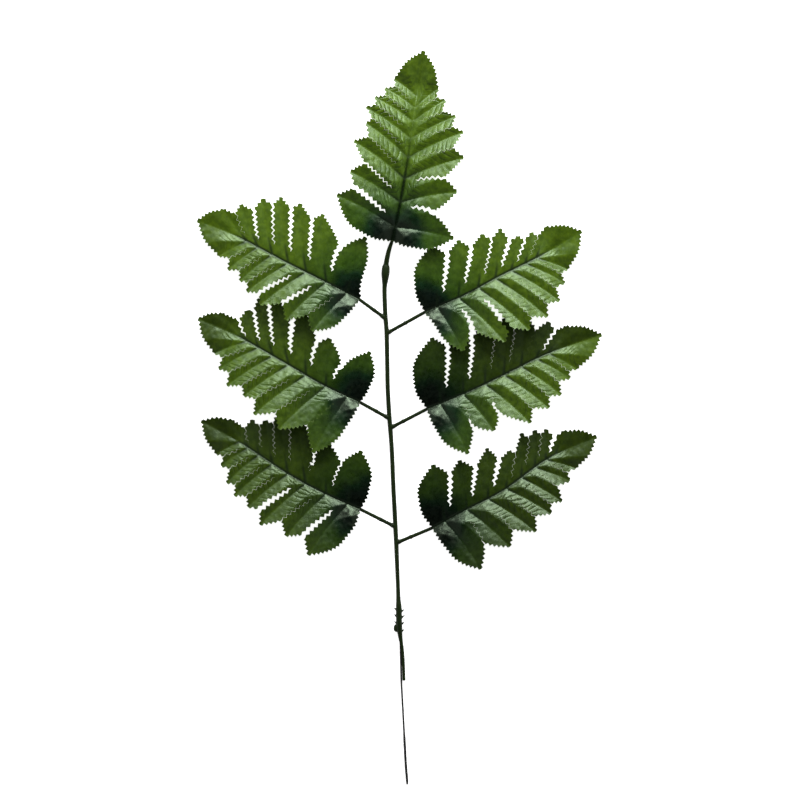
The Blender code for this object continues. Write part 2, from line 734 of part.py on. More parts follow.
def make_stem(leaves):
    """The stem moulding: core, sockets, barbs and tail, bored for the wire and the pins."""
    line, radii = stem_line()
    verts, faces = tube(line, radii, STEM_SIDES, flat=True)
    stem = add_object("stem", verts, faces, STEM_FINISH, smooth_below=40)
    face_out(stem)
    joined = [make_barb(k, tip) for k, tip in enumerate(BARB_TIPS_PX)] + [make_flash()]
    bores = []
    for name, leaf in leaves.items():
        end, ahead = pin_start(name, leaf)
        bore = [end - ahead * (PIN_LENGTH + GAP), end + ahead * BORE_OVERRUN]
        bores.append(guide(f"bore_{name}", *tube(bore, [PIN_RADIUS + GAP] * 2, STUB_SIDES)))
        if name == "top":
            continue
        root, end, ahead = stub_line(name, rib_path(leaf)[0][0])
        full, slim = STUB_SWELL
        path = [root, root + ahead * full, root + ahead * slim, end - ahead * STUB_LIP]
        path += [end - ahead * STUB_LIP * STUB_LIP_FULL, end]
        swell = [STUB_ROOT_RADIUS * STUB_START, STUB_ROOT_RADIUS, STUB_RADIUS, STUB_RADIUS]
        swell += [STUB_LIP_RADIUS] * 2
        joined.append(guide(f"stub_{name}", *tube(path, swell, STUB_SIDES)))
    combine(stem, joined, "UNION")
    wire_path = [Vector(p) for p in wire_line() if p[1] > plan(0, WIRE_BORE_END_PX)[1]]
    wire_path[0] += (wire_path[0] - wire_path[1]).normalized() * GAP
    bores.append(guide("bore_wire", *tube(wire_path, [WIRE_RADIUS + GAP] * len(wire_path), WIRE_SIDES)))
    combine(stem, bores, "DIFFERENCE")
    return stem


def make_wire():
    """The steel wire, with its rough and thicker lower end."""
    path = wire_line()
    low, high = plan(0, WIRE_ROUGH_PX[1])[1], plan(0, WIRE_ROUGH_PX[0])[1]
    radii = [WIRE_ROUGH_RADIUS if low < p[1] < high else WIRE_RADIUS for p in path]
    verts, faces = tube(path, radii, WIRE_SIDES)
    wire = add_object("stem_wire", verts, faces, WIRE_FINISH, smooth_below=40)
    face_out(wire)
    return wire


def build():
    """Make the whole spray."""
    clear_scene()
    leaves = {name: Leaf(spec) for name, spec in LEAVES.items()}
    for name, leaf in leaves.items():
        make_leaf(name, leaf)
        make_rib(name, leaf)
    make_stem(leaves)
    make_wire()


build()
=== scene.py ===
"""The looks of an artificial leather fern spray: cloth leaves, ribs, stem and wire, on a pale floor.

Everything is in metres, in the frame of the solids, which lie in the XY plane with the tip towards +Y.
"""

import math

import bmesh
import bpy
import numpy as np
from mathutils import Matrix, Vector, geometry, noise


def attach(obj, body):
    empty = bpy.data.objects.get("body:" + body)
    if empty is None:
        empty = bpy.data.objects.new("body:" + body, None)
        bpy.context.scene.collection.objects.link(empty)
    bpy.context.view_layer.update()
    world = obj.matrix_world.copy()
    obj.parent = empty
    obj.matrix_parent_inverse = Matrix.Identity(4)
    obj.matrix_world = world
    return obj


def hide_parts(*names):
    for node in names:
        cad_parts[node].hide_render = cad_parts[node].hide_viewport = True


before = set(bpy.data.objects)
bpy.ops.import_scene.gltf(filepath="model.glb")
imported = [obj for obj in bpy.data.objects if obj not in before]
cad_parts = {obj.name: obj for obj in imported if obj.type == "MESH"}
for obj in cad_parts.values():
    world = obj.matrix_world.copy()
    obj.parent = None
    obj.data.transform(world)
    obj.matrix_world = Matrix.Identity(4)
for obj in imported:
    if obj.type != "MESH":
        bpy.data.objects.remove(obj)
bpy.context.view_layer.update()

# Scale and place of the plan, which is set out in the pixels of an 800 by 800 view from above.
PIXEL = 0.00068
CENTRE_PX = (399.4, 417.7)
VIEW_PX = (400.0, 400.0)
VIEW_WIDTH_PX = 800

# The die that cuts every leaf. Shares run along the midrib or along a side vein, from its root to its tip.
VEIN_ROOTS = (0.075, 0.205, 0.33, 0.44, 0.54, 0.63, 0.70, 0.76)
VEIN_BOW = 0.03
SLIT_START = 0.2
SLIT_LEAN = 0.24
SLIT_LEANS_OVER = 0.5
SLIT_WIDENS_OVER = 0.4
SLIT_END_SHARE = 0.35
SHORTEST_SLIT = 12
CLOSED_SLIT = 0.0001
LOBE_HALF_WIDTH = 0.31
LOBE_POINT = 1.6
TERMINAL_BULGE = 0.1
NECK = 0.0014
FLANK_LEAN = 0.25
FLANK_STEPS = (6, 8, 20)

# Pinked teeth at their real size, and the share of the free room that they may take.
SLIT_TOOTH = 0.0037
SLIT_DEPTH = 0.0018
EDGE_TOOTH = 0.0029
EDGE_DEPTH = 0.0016
TOOTH_ROOM = 0.7
TOOTH_STEP = 0.0007

# The cloth's thickness, measured upwards, its mesh, and the ridges between its side veins.
CLOTH = 0.00035
MESH_STEP = 0.0008
MESH_MARGIN = 0.45
MIDRIB_CHAIN = (0.004, 0.975)
VEIN_CHAIN = (0.04, 0.975)
RELIEF_SLOPE = 0.42
RELIEF_MOST = 0.0030
RIDGE_ROUND = 0.3

# Pressed veinlets: pitch, depth, slant, sharpness, and mean depth where they vary. On a half with less than
# full relief they are weaker. Wander and change are each a height, the size of its waves, and a seed.
PLEAT_PITCH_MM = 4.4
PLEAT_DEPTH = 0.00030
PLEAT_SLANT = 0.9
PLEAT_POWER = 1.8
PLEAT_MEAN = 0.55
PLEAT_WEAK = 0.12
PLEAT_WANDER = (0.0030, 0.010, 0)
PLEAT_CHANGE = (0.9, 0.014, 60)
FULL_FOLD = 0.9

# Where the veinlets fade in or out: with the share of the way out from a side vein, with the room between two
# veins, and with the share of the midrib.
PLEAT_OFF_VEIN = (0.03, 0.4)
PLEAT_LEAST_ROOM = (0.002, 0.004)
PLEAT_MOST_ROOM = (0.0075, 0.0095)
PLEAT_STARTS = (0.10, 0.24)
PLEAT_ENDS = (0.80, 0.88)

# The cloth's coarse and fine unevenness in the same way, the share of it on a flat half, where it fades in,
# and the groove along the midrib.
WRINKLES = (0.00030, 0.009, 20)
CRINKLES = (0.00020, 0.0028, 40)
FLAT_UNEVEN = 0.25
UNEVEN_OFF_VEIN = (0.0002, 0.0025)
GROOVE_DEPTH = 0.0004
GROOVE_HALF_WIDTH = 0.0013

# Heights of a leaf's midrib above the surface: at its base, at its bend, where it rests, and at its tip. The
# arch blends into the rising tip where it rests, and both halves level off towards the tip.
BASE_HEIGHT = 0.0085
BEND_HEIGHT = 0.0140
REST_HEIGHT = 0.0008
TIP_HEIGHT = 0.0045
REST_SHARE = 0.80
REST_BLEND = 0.16
LEVEL_TIP = (0.70, 0.92)
LOBE_CURL = 0.0016
LOBE_REACH = 0.045

# The cloth's thickness in the solids, the clearance between pieces, and that at the seam round a stalk.
SOLID_CLOTH = 0.0008
GAP = 0.0003
SEAM_GAP = 0.00003

# The wire, and how its rough stretch swells, fades in and out, and is lumpy.
WIRE_RADIUS = 0.00065
WIRE_ROUGH_RADIUS = 0.00086
WIRE_ROUGH_FADES = (0.001, 0.003)
WIRE_LUMPS = 0.16
WIRE_PITS = 0.01
LUMPS_PER_METRE = 900
PITS_PER_METRE = 2500

# The stem's underside, which is flat at a share of its radius, and the sockets from root to lip.
FLAT_SHARE = 0.87
STUB_ROOT_RADIUS = 0.0016
STUB_START = 0.8
STUB_SWELL = (0.0022, 0.0045)
STUB_RADIUS = 0.0013
STUB_LIP_RADIUS = 0.00152
STUB_LIP = 0.0014
STUB_LIP_FULL = 0.6

# Pins and their bores, stalks with a collar at the seam, and ribs with side ribs.
PIN_RADIUS = 0.00045
PIN_LENGTH = 0.0055
PIN_STEP = 0.00002
BORE_OVERRUN = 0.004
STALK_RADIUS = 0.00125
TOP_STALK_RADIUS = 0.0018
TOP_COLLAR_RADIUS = 0.0021
COLLAR_EDGE = 0.0002
COLLAR_EDGE_SHARE = 0.95
COLLAR_RUN = 0.0008
RIB_RADIUS = 0.0011
RIB_END_RADIUS = 0.00045
RIB_START = 0.004
RIB_END = 0.75
SIDE_RIB_END = 0.3
SIDE_RIB_RADIUS = 0.00035
SIDE_RIB_TAPER = 0.6
SIDE_RIB_SINK = 0.0002

# Each leaf in plan: its midrib from base to tip, and the tips of its lobes on its left and right hand, base
# to tip. Gaps are how far the slits between those lobes stand open, in metres, and the rest are closed.
# Swell widens the outer edge of the lobe by the stalk. Lift is how steeply each half rises from the midrib,
# and fold is the share of the full relief that it has. These four have the left half first, then the right.
HANDS = ("left", "right")
LEAVES = {
    "top": {
        "midrib": [(392.2, 241), (400.6, 200.5), (407.6, 159.8), (416, 101), (423.7, 50.3)],
        "left": [
            (337, 195), (350.5, 171.5), (354, 141), (366.5, 123), (366, 107), (375, 97), (385, 88),
            (394.5, 78),
        ],
        "right": [
            (453.6, 238.6), (456.9, 192), (463.7, 157.7), (463.4, 132), (455.6, 116), (445.5, 100),
            (438.2, 88),
        ],
        "gaps": ([0.0030, 0.0010], [0.0030, 0.0016]),
        "swell": (1.1, 1.0),
        "lift": (0.20, 0.20),
        "fold": (1.0, 1.0),
    },
    "left_1": {
        "midrib": [(359.3, 299.3), (323.3, 280.7), (286, 262), (236.7, 236), (197, 220)],
        "left": [(312, 331), (286, 320), (260.5, 305), (247, 292), (240, 281), (228, 270), (219, 256)],
        "right": [
            (366, 237), (323, 214), (300.7, 203.3), (281, 196.7), (262.7, 198), (240.7, 204), (223, 209),
        ],
        "gaps": ([0, 0.0024, 0.0022], [0.0032, 0.0022, 0.0024, 0.0012, 0.0020]),
        "swell": (1.0, 0.6),
        "lift": (0.22, 0.02),
        "fold": (1.0, 0.3),
    },
    "left_2": {
        "midrib": [(360, 402.3), (323.3, 385), (290, 365.7), (239.3, 337), (198, 318.3)],
        "left": [(313, 453), (279, 429), (254, 414.5), (244, 396), (227, 386), (218.5, 369), (214, 353)],
        "right": [(370, 351.5), (330, 338.5), (307, 312), (277, 298), (258, 298), (246, 310.5), (222, 313)],
        "gaps": ([], [0.0024, 0.0026, 0.0034, 0.0022, 0.0020, 0.0016]),
        "swell": (0.8, 1.08),
        "lift": (0.22, 0.02),
        "fold": (1.0, 0.3),
    },
    "left_3": {
        "midrib": [(360.3, 509.3), (324.3, 493.3), (288.3, 474), (240.3, 442.7), (201, 420.7)],
        "left": [
            (308, 555), (286, 536), (260, 525), (248, 507), (234.5, 496), (226.5, 483), (221, 466),
            (216, 454),
        ],
        "right": [
            (361, 450.5), (329.5, 444), (299, 410), (280, 409), (265, 420.5), (252, 419.5), (232, 420),
        ],
        "gaps": ([0.0032, 0, 0.0032], [0.0010]),
        "swell": (1.05, 1.1),
        "lift": (0.18, 0.02),
        "fold": (1.0, 0.3),
    },
    "right_1": {
        "midrib": [(425, 312), (465, 294.7), (498.3, 276.7), (543.7, 254), (581.7, 230.7)],
        "left": [
            (431.7, 245.3), (458.3, 240), (481.7, 234), (500.3, 228), (518.5, 236), (531.7, 232),
            (546, 226.5),
        ],
        "right": [(463, 351), (505, 342), (529, 330), (547.5, 317), (559.7, 301), (565, 283), (568, 269)],
        "gaps": ([0.0030, 0.0024, 0.0010, 0.0024, 0.0012], [0.0032, 0.0034]),
        "swell": (1.15, 0.8),
        "lift": (0.02, 0.22),
        "fold": (0.3, 1.0),
    },
    "right_2": {
        "midrib": [(427, 409), (470.3, 391), (509, 372.3), (549, 353), (602, 334.3)],
        "left": [(432, 337.5), (457, 333), (482, 323), (504, 318), (524, 314), (549, 321.5), (566, 326)],
        "right": [(468, 454), (494, 430.5), (530.5, 423), (549, 408), (561, 395), (570, 378.5), (577, 369)],
        "gaps": ([0.0028, 0.0026, 0, 0, 0, 0.0016], []),
        "swell": (1.22, 1.0),
        "lift": (0.02, 0.22),
        "fold": (0.3, 1.0),
    },
    "right_3": {
        "midrib": [(432.5, 528), (466, 509.7), (503.3, 490.3), (548.7, 458.3), (597, 436.3)],
        "left": [
            (433, 464.5), (459.3, 460.3), (487, 448), (509, 451), (521, 433), (535, 430), (546, 429),
            (564, 431),
        ],
        "right": [
            (481, 569), (510, 546.5), (536, 531.5), (551, 513.5), (562, 501.5), (570, 481),
            (576.5, 468),
        ],
        "gaps": ([0.0028, 0.0028, 0.0030, 0, 0, 0, 0.0026], []),
        "swell": (1.28, 0.92),
        "lift": (0.02, 0.18),
        "fold": (0.3, 1.0),
    },
}

# Painted shade on each leaf, for light that falls off towards the base, halves turned from the light and the
# shade of the leaves above: how light its left half and its right half are, and the share of that left at its
# tip.
LEAF_SHADE = {
    "top": (0.95, 0.92, 0.78),
    "left_1": (0.82, 0.93, 0.86),
    "left_2": (0.80, 0.68, 0.52),
    "left_3": (0.55, 0.46, 0.52),
    "right_1": (0.86, 0.86, 0.98),
    "right_2": (0.33, 0.82, 0.95),
    "right_3": (0.36, 0.38, 0.90),
}

# The stem's centre line in plan, from its top face to its tail, with its radius at each point.
STEM_PX = [
    (386.0, 265.0, 0.00225), (385.8, 267.5, 0.00272), (385.4, 273.5, 0.00286),
    (385.1, 278.5, 0.00240), (384.7, 285.0, 0.00172), (384.5, 292.0, 0.00160),
    (385.2, 313.0, 0.00160), (386.5, 330.0, 0.00160), (387.2, 360.0, 0.00156),
    (387.8, 390.0, 0.00156), (389.6, 420.0, 0.00160), (391.8, 450.0, 0.00156),
    (393.5, 490.0, 0.00156), (395.1, 520.0, 0.00160), (396.5, 550.0, 0.00156),
    (397.9, 585.0, 0.00142), (398.4, 600.0, 0.00160), (398.8, 607.0, 0.00200),
    (399.0, 620.0, 0.00204), (399.6, 630.0, 0.00190), (400.6, 639.0, 0.00145),
    (402.0, 648.0, 0.00122), (403.1, 660.0, 0.00115), (403.9, 681.0, 0.00115),
]
STUB_CORE_RADIUS = 0.00160

# The wire's centre line below the stem's core, with its height, and where its upper end stops in the stem.
WIRE_TOP_PX = 299.0
WIRE_LEAVES_PX = 625.0
WIRE_PX = [
    (400.2, 640.0, 0.00130), (400.8, 660.0, 0.00115), (401.3, 681.0, 0.00105),
    (401.9, 692.0, 0.00100), (403.2, 715.5, 0.00095), (404.1, 733.0, 0.00095),
    (404.6, 742.0, 0.00095), (405.7, 763.0, 0.00095), (407.0, 780.0, 0.00092),
    (407.3, 785.0, 0.00090),
]
WIRE_ROUGH_PX = (736.0, 783.0)
WIRE_BORE_END_PX = 700.0

# Branches: where each leaves the stem, and the share of the way to the leaf at which its socket ends.
BRANCHES = {
    "left_1": ((385.6, 318.5), 0.45),
    "right_1": ((386.6, 333.3), 0.50),
    "left_2": ((389.4, 418.6), 0.46),
    "right_2": ((390.3, 428.0), 0.37),
    "left_3": ((395.4, 527.0), 0.44),
    "right_3": ((396.2, 543.2), 0.42),
}
TOP_STALK_PX = [(387.3, 257.0, 0.00165), (389.4, 248.5, 0.00148)]

# Barbs: tips in plan, the drop from tip to root and how far the root is sunk, then the lump of flash.
BARB_TIPS_PX = [
    (405.7, 608.6), (406.1, 614.6), (405.9, 621.2), (405.5, 628.7),
    (393.0, 607.4), (392.8, 613.7), (393.2, 620.8),
]
BARB_DROP = 0.0020
BARB_ROOT = 0.0018
BARB_HEAD = 0.0005
BARB_HALF_HEIGHT = 0.0008
BARB_HEIGHT = 0.0017
BARB_CORE_PX = 399.2
BARB_INSIDE = 0.0012
FLASH_PX = (395.8, 628.6)
FLASH_HEIGHT = 0.0016
FLASH_RADII = (0.0016, 0.0027, 0.0008)
FLASH_UNEVEN = (0.0003, 0.0003, 0.0001)

# How finely curves are stepped, and shapes are meshed.
SPLINE_STEPS = 12
MIDRIB_STEPS = 80
VEIN_STEPS = 40
LOBE_STEPS = 80
ARC_STEPS = 30
RIB_POINTS = 40
SIDE_RIB_POINTS = 8
BATCH = 2000
STEM_SIDES = 32
STUB_SIDES = 24
RIB_SIDES = 16
SIDE_RIB_SIDES = 10
WIRE_SIDES = 24
STEM_STEP = 0.0008
RIB_STEP = 0.0012
WIRE_STEP = 0.0006
STEM_VOXEL = 0.00026
STEM_SOFTENING = 4
SHARP_CLOTH = 70
SHARP_SOLID = 50
MM = 1000

# Where the painted shade lies: shares of a side vein and of the midrib over which the painted shade in the
# vein and midrib grooves fades out, and with it the midrib's pressed groove, and where the painted shade of
# the tip comes in; how dark the midrib's painted shade is, how much the painted shade in the top leaf's veins
# fades, and the blend between the painted shade of two halves.
VEIN_SHADE_FADE = (0.10, 0.40)
RIB_GROOVE_FADE = (0.69, 0.79)
TOP_RIB_GROOVE_FADE = (0.3, 0.6)
TIP_SHADE = (0.76, 0.90)
RIB_DARKNESS = 0.5
TOP_VEIN_FADE = 0.85
HALF_BLEND = (-0.0012, 0.0012)

# Colours of the print by the share of the way out from the leaf's base, then of its mottle, of the painted
# shade in its vein, midrib and crease grooves, of the painted highlight on its cut edges, of its gloss and
# sheen tints, and of the wire.
GROUND = [
    (0.0, (4, 9, 6)), (0.10, (5, 16, 12)), (0.15, (15, 40, 20)),
    (0.21, (48, 74, 15)), (0.42, (72, 96, 12)), (1.0, (78, 102, 12)),
]
MOTTLE_COLOUR = (84, 98, 20)
VEIN_SHADE_COLOUR = (10, 20, 8)
GROOVE_SHADE_COLOUR = (8, 18, 8)
CREASE_SHADE_COLOUR = (10, 22, 8)
EDGE_HIGHLIGHT_COLOUR = (120, 140, 84)
GLOSS_COLOUR = (225, 255, 215)
SHEEN_COLOUR = (190, 215, 170)
COATING_COLOUR = (13, 15, 12)
WORN_COLOUR = (40, 38, 30)

# The plastics: dark and light colour, and roughness.
PLASTICS = {
    "rib_plastic": ((13, 26, 6), (30, 45, 11), 0.5),
    "stem_plastic": ((12, 23, 6), (26, 40, 10), 0.45),
}

# Ramps of the finishes: from, to, and the value at each. Those of the painted shade of the veins and the rib
# and of the painted highlight on the edge run over millimetres from them.
MOTTLE = (0.3, 0.7, 0.0, 0.6)
VEIN_SHADE = (0.1, 1.0, 0.55, 0.0)
VEIN_CORE = (0.2, 1.9, 0.55, 0.0)
RIB_CORE = (0.4, 1.5, 1.0, 0.0)
EDGE_HIGHLIGHT = (0.0, 0.5, 0.35, 0.0)
EDGE_HIGHLIGHT_BREAKS = (0.42, 0.58, 0.0, 1.0)
CLOTH_ROUGH = (0.14, 0.28, 0.29, 0.35)
CLOTH_GRAIN = (0.3, 0.7, -0.05, 0.05)
WIRE_WEAR = (0.58, 0.72, 0.0, 1.0)
WIRE_ROUGH = (0.3, 0.7, 0.42, 0.62)
BASE_WANDER = 0.14
CREASE_SHADE = 0.4
ROUGH_SPREAD = 0.06
FLOW = (1.0, 0.12, 1.0)

# Pitch and height of the weave, then the heights of the cloth's fuzz, the plastic's flow marks and grain, and
# the wire's coating.
WEAVE_PITCH = 0.00042
WEAVE_HEIGHT = 0.00001
FUZZ_HEIGHT = 0.00003
FLOW_HEIGHT = 0.00008
GRAIN_HEIGHT = 0.00002
COATING_HEIGHT = 0.00005

# The soft box beyond the tip and the weak fill above: place, size and power of each, and what both point at.
SOFT_BOX = ((0.10, 1.02, 0.54), (1.1, 0.5), 24.0)
FILL_BOX = ((0.0, 0.50, 1.30), (1.2, 1.2), 5.0)
LAMP_AIM = (0.0, 0.05, 0.0)

# The tent's brightness, by the height of the direction and by how far it points towards the tip: from, to,
# and the level at each. Then the floor and the view.
TENT = [("Z", 0.70, 0.92, 0.38, 0.01), ("Y", -0.8, 0.8, 0.75, 1.15)]
FLOOR_HALF = 4.0
FLOOR_DROP = 0.0002
FLOOR_TONES = (0.91, 0.93)
FLOOR_GLOW = 0.86
VIEW_HEIGHT = 6.0
VIEW_FRONT = 0.01


def plan(x_px, y_px):
    """A plan point in metres."""
    return ((x_px - CENTRE_PX[0]) * PIXEL, (CENTRE_PX[1] - y_px) * PIXEL)


def length_of(line):
    """Length of a line of points."""
    return float(np.linalg.norm(np.diff(line, axis=0), axis=1).sum())


def resample(line, count):
    """The same plan line as count + 1 points at equal steps of length, with any further columns."""
    run = np.concatenate([[0], np.cumsum(np.linalg.norm(np.diff(line[:, :2], axis=0), axis=1))])
    at = np.linspace(0, run[-1], count + 1)
    return np.column_stack([np.interp(at, run, column) for column in line.T])


def spline(points, count):
    """A Catmull-Rom curve through the points, as count + 1 evenly spaced points."""
    p = np.array(points, float)
    p = np.vstack([2 * p[0] - p[1], p, 2 * p[-1] - p[-2]])
    t = np.linspace(0, 1, SPLINE_STEPS, endpoint=False)[:, None]
    runs = []
    for a, b, c, d in zip(p, p[1:], p[2:], p[3:]):
        cubic = 3 * b - a - 3 * c + d
        square = 2 * a - 5 * b + 4 * c - d
        runs.append(b + 0.5 * ((c - a) * t + square * t**2 + cubic * t**3))
    return resample(np.vstack(runs + [p[-2:-1]]), count)


def along(line, share):
    """Points at shares of an evenly spaced line."""
    at = np.clip(share, 0, 1) * (len(line) - 1)
    return np.column_stack([np.interp(at, np.arange(len(line)), column) for column in line.T])


def right_hand(line):
    """Unit vectors to the right of a plan line, as one walks it."""
    step = np.gradient(line, axis=0)
    step /= np.linalg.norm(step, axis=1)[:, None]
    return np.column_stack([step[:, 1], -step[:, 0]])


def nearest(points, line):
    """Distance of each plan point from a line, the share of the line there, and the side: +1 is right."""
    start, step = line[:-1], np.diff(line, axis=0)
    offset = points[:, None, :] - start[None]
    t = np.clip((offset * step).sum(2) / (step * step).sum(1), 0, 1)
    gap = np.linalg.norm(offset - t[:, :, None] * step, axis=2)
    best = gap.argmin(axis=1)
    row = np.arange(len(points))
    share = (best + t[row, best]) / len(step)
    cross = step[best, 1] * offset[row, best, 0] - step[best, 0] * offset[row, best, 1]
    return gap[row, best], share, np.where(cross > 0, 1.0, -1.0)


def distance_to(points, line):
    """Distance of each plan point from a line, worked out in batches."""
    parts = [nearest(points[k : k + BATCH], line)[0] for k in range(0, len(points), BATCH)]
    return np.concatenate(parts)


def closed(loop):
    """A loop of points with its first point repeated at its end."""
    return np.vstack([loop, loop[:1]])


def pinked(line, hand, room=None, pitch=EDGE_TOOTH, depth=EDGE_DEPTH):
    """A line with zigzag teeth across it, the first of them to the given hand; its ends stay.

    Room is how far those teeth may reach at each point of the line, where something is close.
    """
    count = 2 * max(1, round(length_of(line) / pitch))
    out = resample(line, count)
    reach = np.full(count + 1, depth / 2)
    if room is not None:
        reach = np.minimum(reach, resample(np.column_stack([line, room]), count)[:, 2])
    push = np.where(np.arange(count + 1) % 2, reach, -depth / 2) * hand
    push[[0, -1]] = 0
    return out + right_hand(out) * push[:, None]


def lobe_width(vein, share):
    """Half the width of a lobe along its vein, which ends in a blunt point."""
    most = length_of(vein) * LOBE_HALF_WIDTH
    from_tip = (1 - share) * length_of(vein)
    return most * (1 - np.clip(1 - from_tip / (LOBE_POINT * most), 0, 1) ** 2)


def smoothstep(x, low, high):
    """0 below low, 1 above high, and a soft rise between them."""
    t = np.clip((x - low) / (high - low), 0, 1)
    return t * t * (3 - 2 * t)


def noise_at(points, size, seed):
    """Smooth noise, about -1 to 1, at plan points, with features of the given size."""
    offset = Vector((seed * 17.3, seed * 5.1, seed * 3.7))
    return np.array([noise.noise(Vector((x / size, y / size, 0)) + offset) for x, y in points])


class Leaf:
    """The plan and the relief of one leaf."""

    def __init__(self, name, spec):
        self.name = name
        self.seed = 1 + list(LEAVES).index(name)
        self.midrib = spline([plan(*p) for p in spec["midrib"]], MIDRIB_STEPS)
        self.size = length_of(self.midrib)
        self.veins = {hand: self.vein_lines(spec[hand]) for hand in HANDS}
        self.gaps, self.swell, self.lift, self.fold = (
            dict(zip(HANDS, spec[key])) for key in ("gaps", "swell", "lift", "fold")
        )
        self.is_top = name == "top"
        # Shares over which the midrib's pressed groove and its painted shade fade out.
        self.rib_groove_fade = TOP_RIB_GROOVE_FADE if self.is_top else RIB_GROOVE_FADE

    def vein_lines(self, tips_px):
        """Side veins from the midrib to the lobe tips, bowed a little forwards."""
        ahead = self.midrib[-1] - self.midrib[0]
        ahead /= np.linalg.norm(ahead)
        t = np.linspace(0, 1, VEIN_STEPS + 1)[:, None]
        lines = []
        for root_share, tip_px in zip(VEIN_ROOTS, tips_px):
            root = along(self.midrib, np.array([root_share]))[0]
            reach = np.array(plan(*tip_px)) - root
            bow = ahead * VEIN_BOW * np.linalg.norm(reach)
            lines.append(root + reach * t + bow * 4 * t * (1 - t))
        return lines

    def half_outline(self, hand):
        """One half of the outline from base to tip: pinked lobes, with zigzag slits between them."""
        side = 1.0 if hand == "right" else -1.0
        share = np.linspace(SLIT_START, 1, LOBE_STEPS + 1)
        veins = self.veins[hand]
        at = [along(v, share) for v in veins]
        wide = [lobe_width(v, share) for v in veins]
        outer = at[0] + right_hand(at[0]) * (side * self.swell[hand] * wide[0])[:, None]
        base = self.midrib[0] + right_hand(self.midrib)[0] * side * NECK
        back, join, kept = FLANK_STEPS
        flank = (base + outer[0]) / 2 + (outer[0] - outer[back]) * FLANK_LEAN
        lead = spline([base, flank, outer[0], outer[join]], ARC_STEPS)[:kept]
        runs = [pinked(np.vstack([lead, outer[join:]]), side)]
        for k in range(len(veins) - 1):
            runs += self.slit(at[k], at[k + 1], wide[k], wide[k + 1], share, self.slit_gap(hand, k), side)
        shoulder, tip = veins[-1][-1], self.midrib[-1]
        chord = tip - shoulder
        bulge = np.array([chord[1], -chord[0]]) * side * TERMINAL_BULGE
        arch = spline([shoulder, (shoulder + tip) / 2 + bulge, tip], ARC_STEPS)
        runs.append(pinked(arch, side)[1:])
        return np.vstack(runs)

    def slit_gap(self, hand, k):
        """How far slit k stands open."""
        gaps = self.gaps[hand]
        return max(gaps[k] if k < len(gaps) else 0, CLOSED_SLIT)

    @staticmethod
    def slit(here, there, wide_here, wide_there, share, gap, side):
        """The run from one lobe's tip, down into the slit, and out to the next lobe's tip."""
        lean = side * SLIT_LEAN * np.clip(1 - (share - SLIT_START) / SLIT_LEANS_OVER, 0, 1)
        middle = here + (there - here) * (0.5 + lean)[:, None]
        across = (there - here) / 2
        distance = np.linalg.norm(across, axis=1)
        widening = np.clip((share - SLIT_START) / SLIT_WIDENS_OVER, 0, 1)
        half = gap / 2 * (SLIT_END_SHARE + (1 - SLIT_END_SHARE) * widening)
        room = distance - half
        mouth = max(SHORTEST_SLIT, int(np.argmax((wide_here < room) | (wide_there < room))))
        cut = pinked(middle[: mouth + 1], 1, pitch=SLIT_TOOTH, depth=SLIT_DEPTH)
        toward = right_hand(resample(middle[: mouth + 1], len(cut) - 1))
        flip = -np.sign((across[mouth] * toward[-1]).sum())
        opening = np.interp(np.linspace(0, mouth, len(cut)), np.arange(mouth + 1), half[: mouth + 1])
        opening[0] = 0
        shift = toward * flip * opening[:, None]
        unit = across / distance[:, None]
        reach_here, reach_there = np.minimum(room, wide_here), np.minimum(room, wide_there)
        edge_here = (here + unit * reach_here[:, None])[mouth:][::-1]
        edge_there = (there - unit * reach_there[:, None])[mouth:]
        free_here = TOOTH_ROOM * (distance - reach_here)[mouth:][::-1]
        free_there = TOOTH_ROOM * (distance - reach_there)[mouth:]
        return [
            pinked(edge_here, side, free_here)[1:],
            (cut + shift)[::-1][1:],
            (cut - shift)[1:],
            pinked(edge_there, side, free_there)[1:],
        ]

    def outline(self):
        """The whole outline as one closed loop of plan points, a few along each side of a tooth."""
        corners = np.vstack([self.half_outline("right"), self.half_outline("left")[::-1][1:]])
        loop = []
        for a, b in zip(corners, np.roll(corners, -1, axis=0)):
            pieces = max(1, round(float(np.linalg.norm(b - a)) / TOOTH_STEP))
            loop += [a + (b - a) * k / pieces for k in range(pieces)]
        return np.array(loop)

    @staticmethod
    def midrib_height(share):
        """Height of the cloth's upper face along the midrib."""
        on = share / REST_SHARE
        arch = (1 - on) ** 2 * BASE_HEIGHT + 2 * on * (1 - on) * BEND_HEIGHT + on**2 * REST_HEIGHT
        slope = (TIP_HEIGHT - REST_HEIGHT) / (1 - REST_SHARE)
        rising = REST_HEIGHT + (share - REST_SHARE) * slope
        past = smoothstep(share, REST_SHARE - REST_BLEND / 2, REST_SHARE + REST_BLEND / 2)
        return arch * (1 - past) + rising * past

    def fields(self, points):
        """What the relief and the colours need at each plan point, as a dictionary of arrays."""
        off, share, side = nearest(points, self.midrib)
        near = np.zeros((len(points), 2))
        vein_share = np.zeros(len(points))
        vein_run = np.zeros(len(points))
        for hand, sign in (("left", -1.0), ("right", 1.0)):
            mine = np.flatnonzero(side == sign)
            if not len(mine):
                continue
            found = [nearest(points[mine], line) for line in self.veins[hand]]
            gaps = np.array([off[mine]] + [f[0] for f in found])
            near[mine] = np.sort(gaps, axis=0)[:2].T
            closest = gaps[1:].argmin(axis=0)
            row = np.arange(len(mine))
            vein_share[mine] = np.array([f[1] for f in found])[closest, row]
            lengths = np.array([length_of(line) for line in self.veins[hand]])
            vein_run[mine] = vein_share[mine] * lengths[closest]
        return {
            "off": off,
            "share": share,
            "side": side,
            "first": near[:, 0],
            "half": near.mean(axis=1),
            "vein_share": vein_share,
            "vein_run": vein_run,
        }

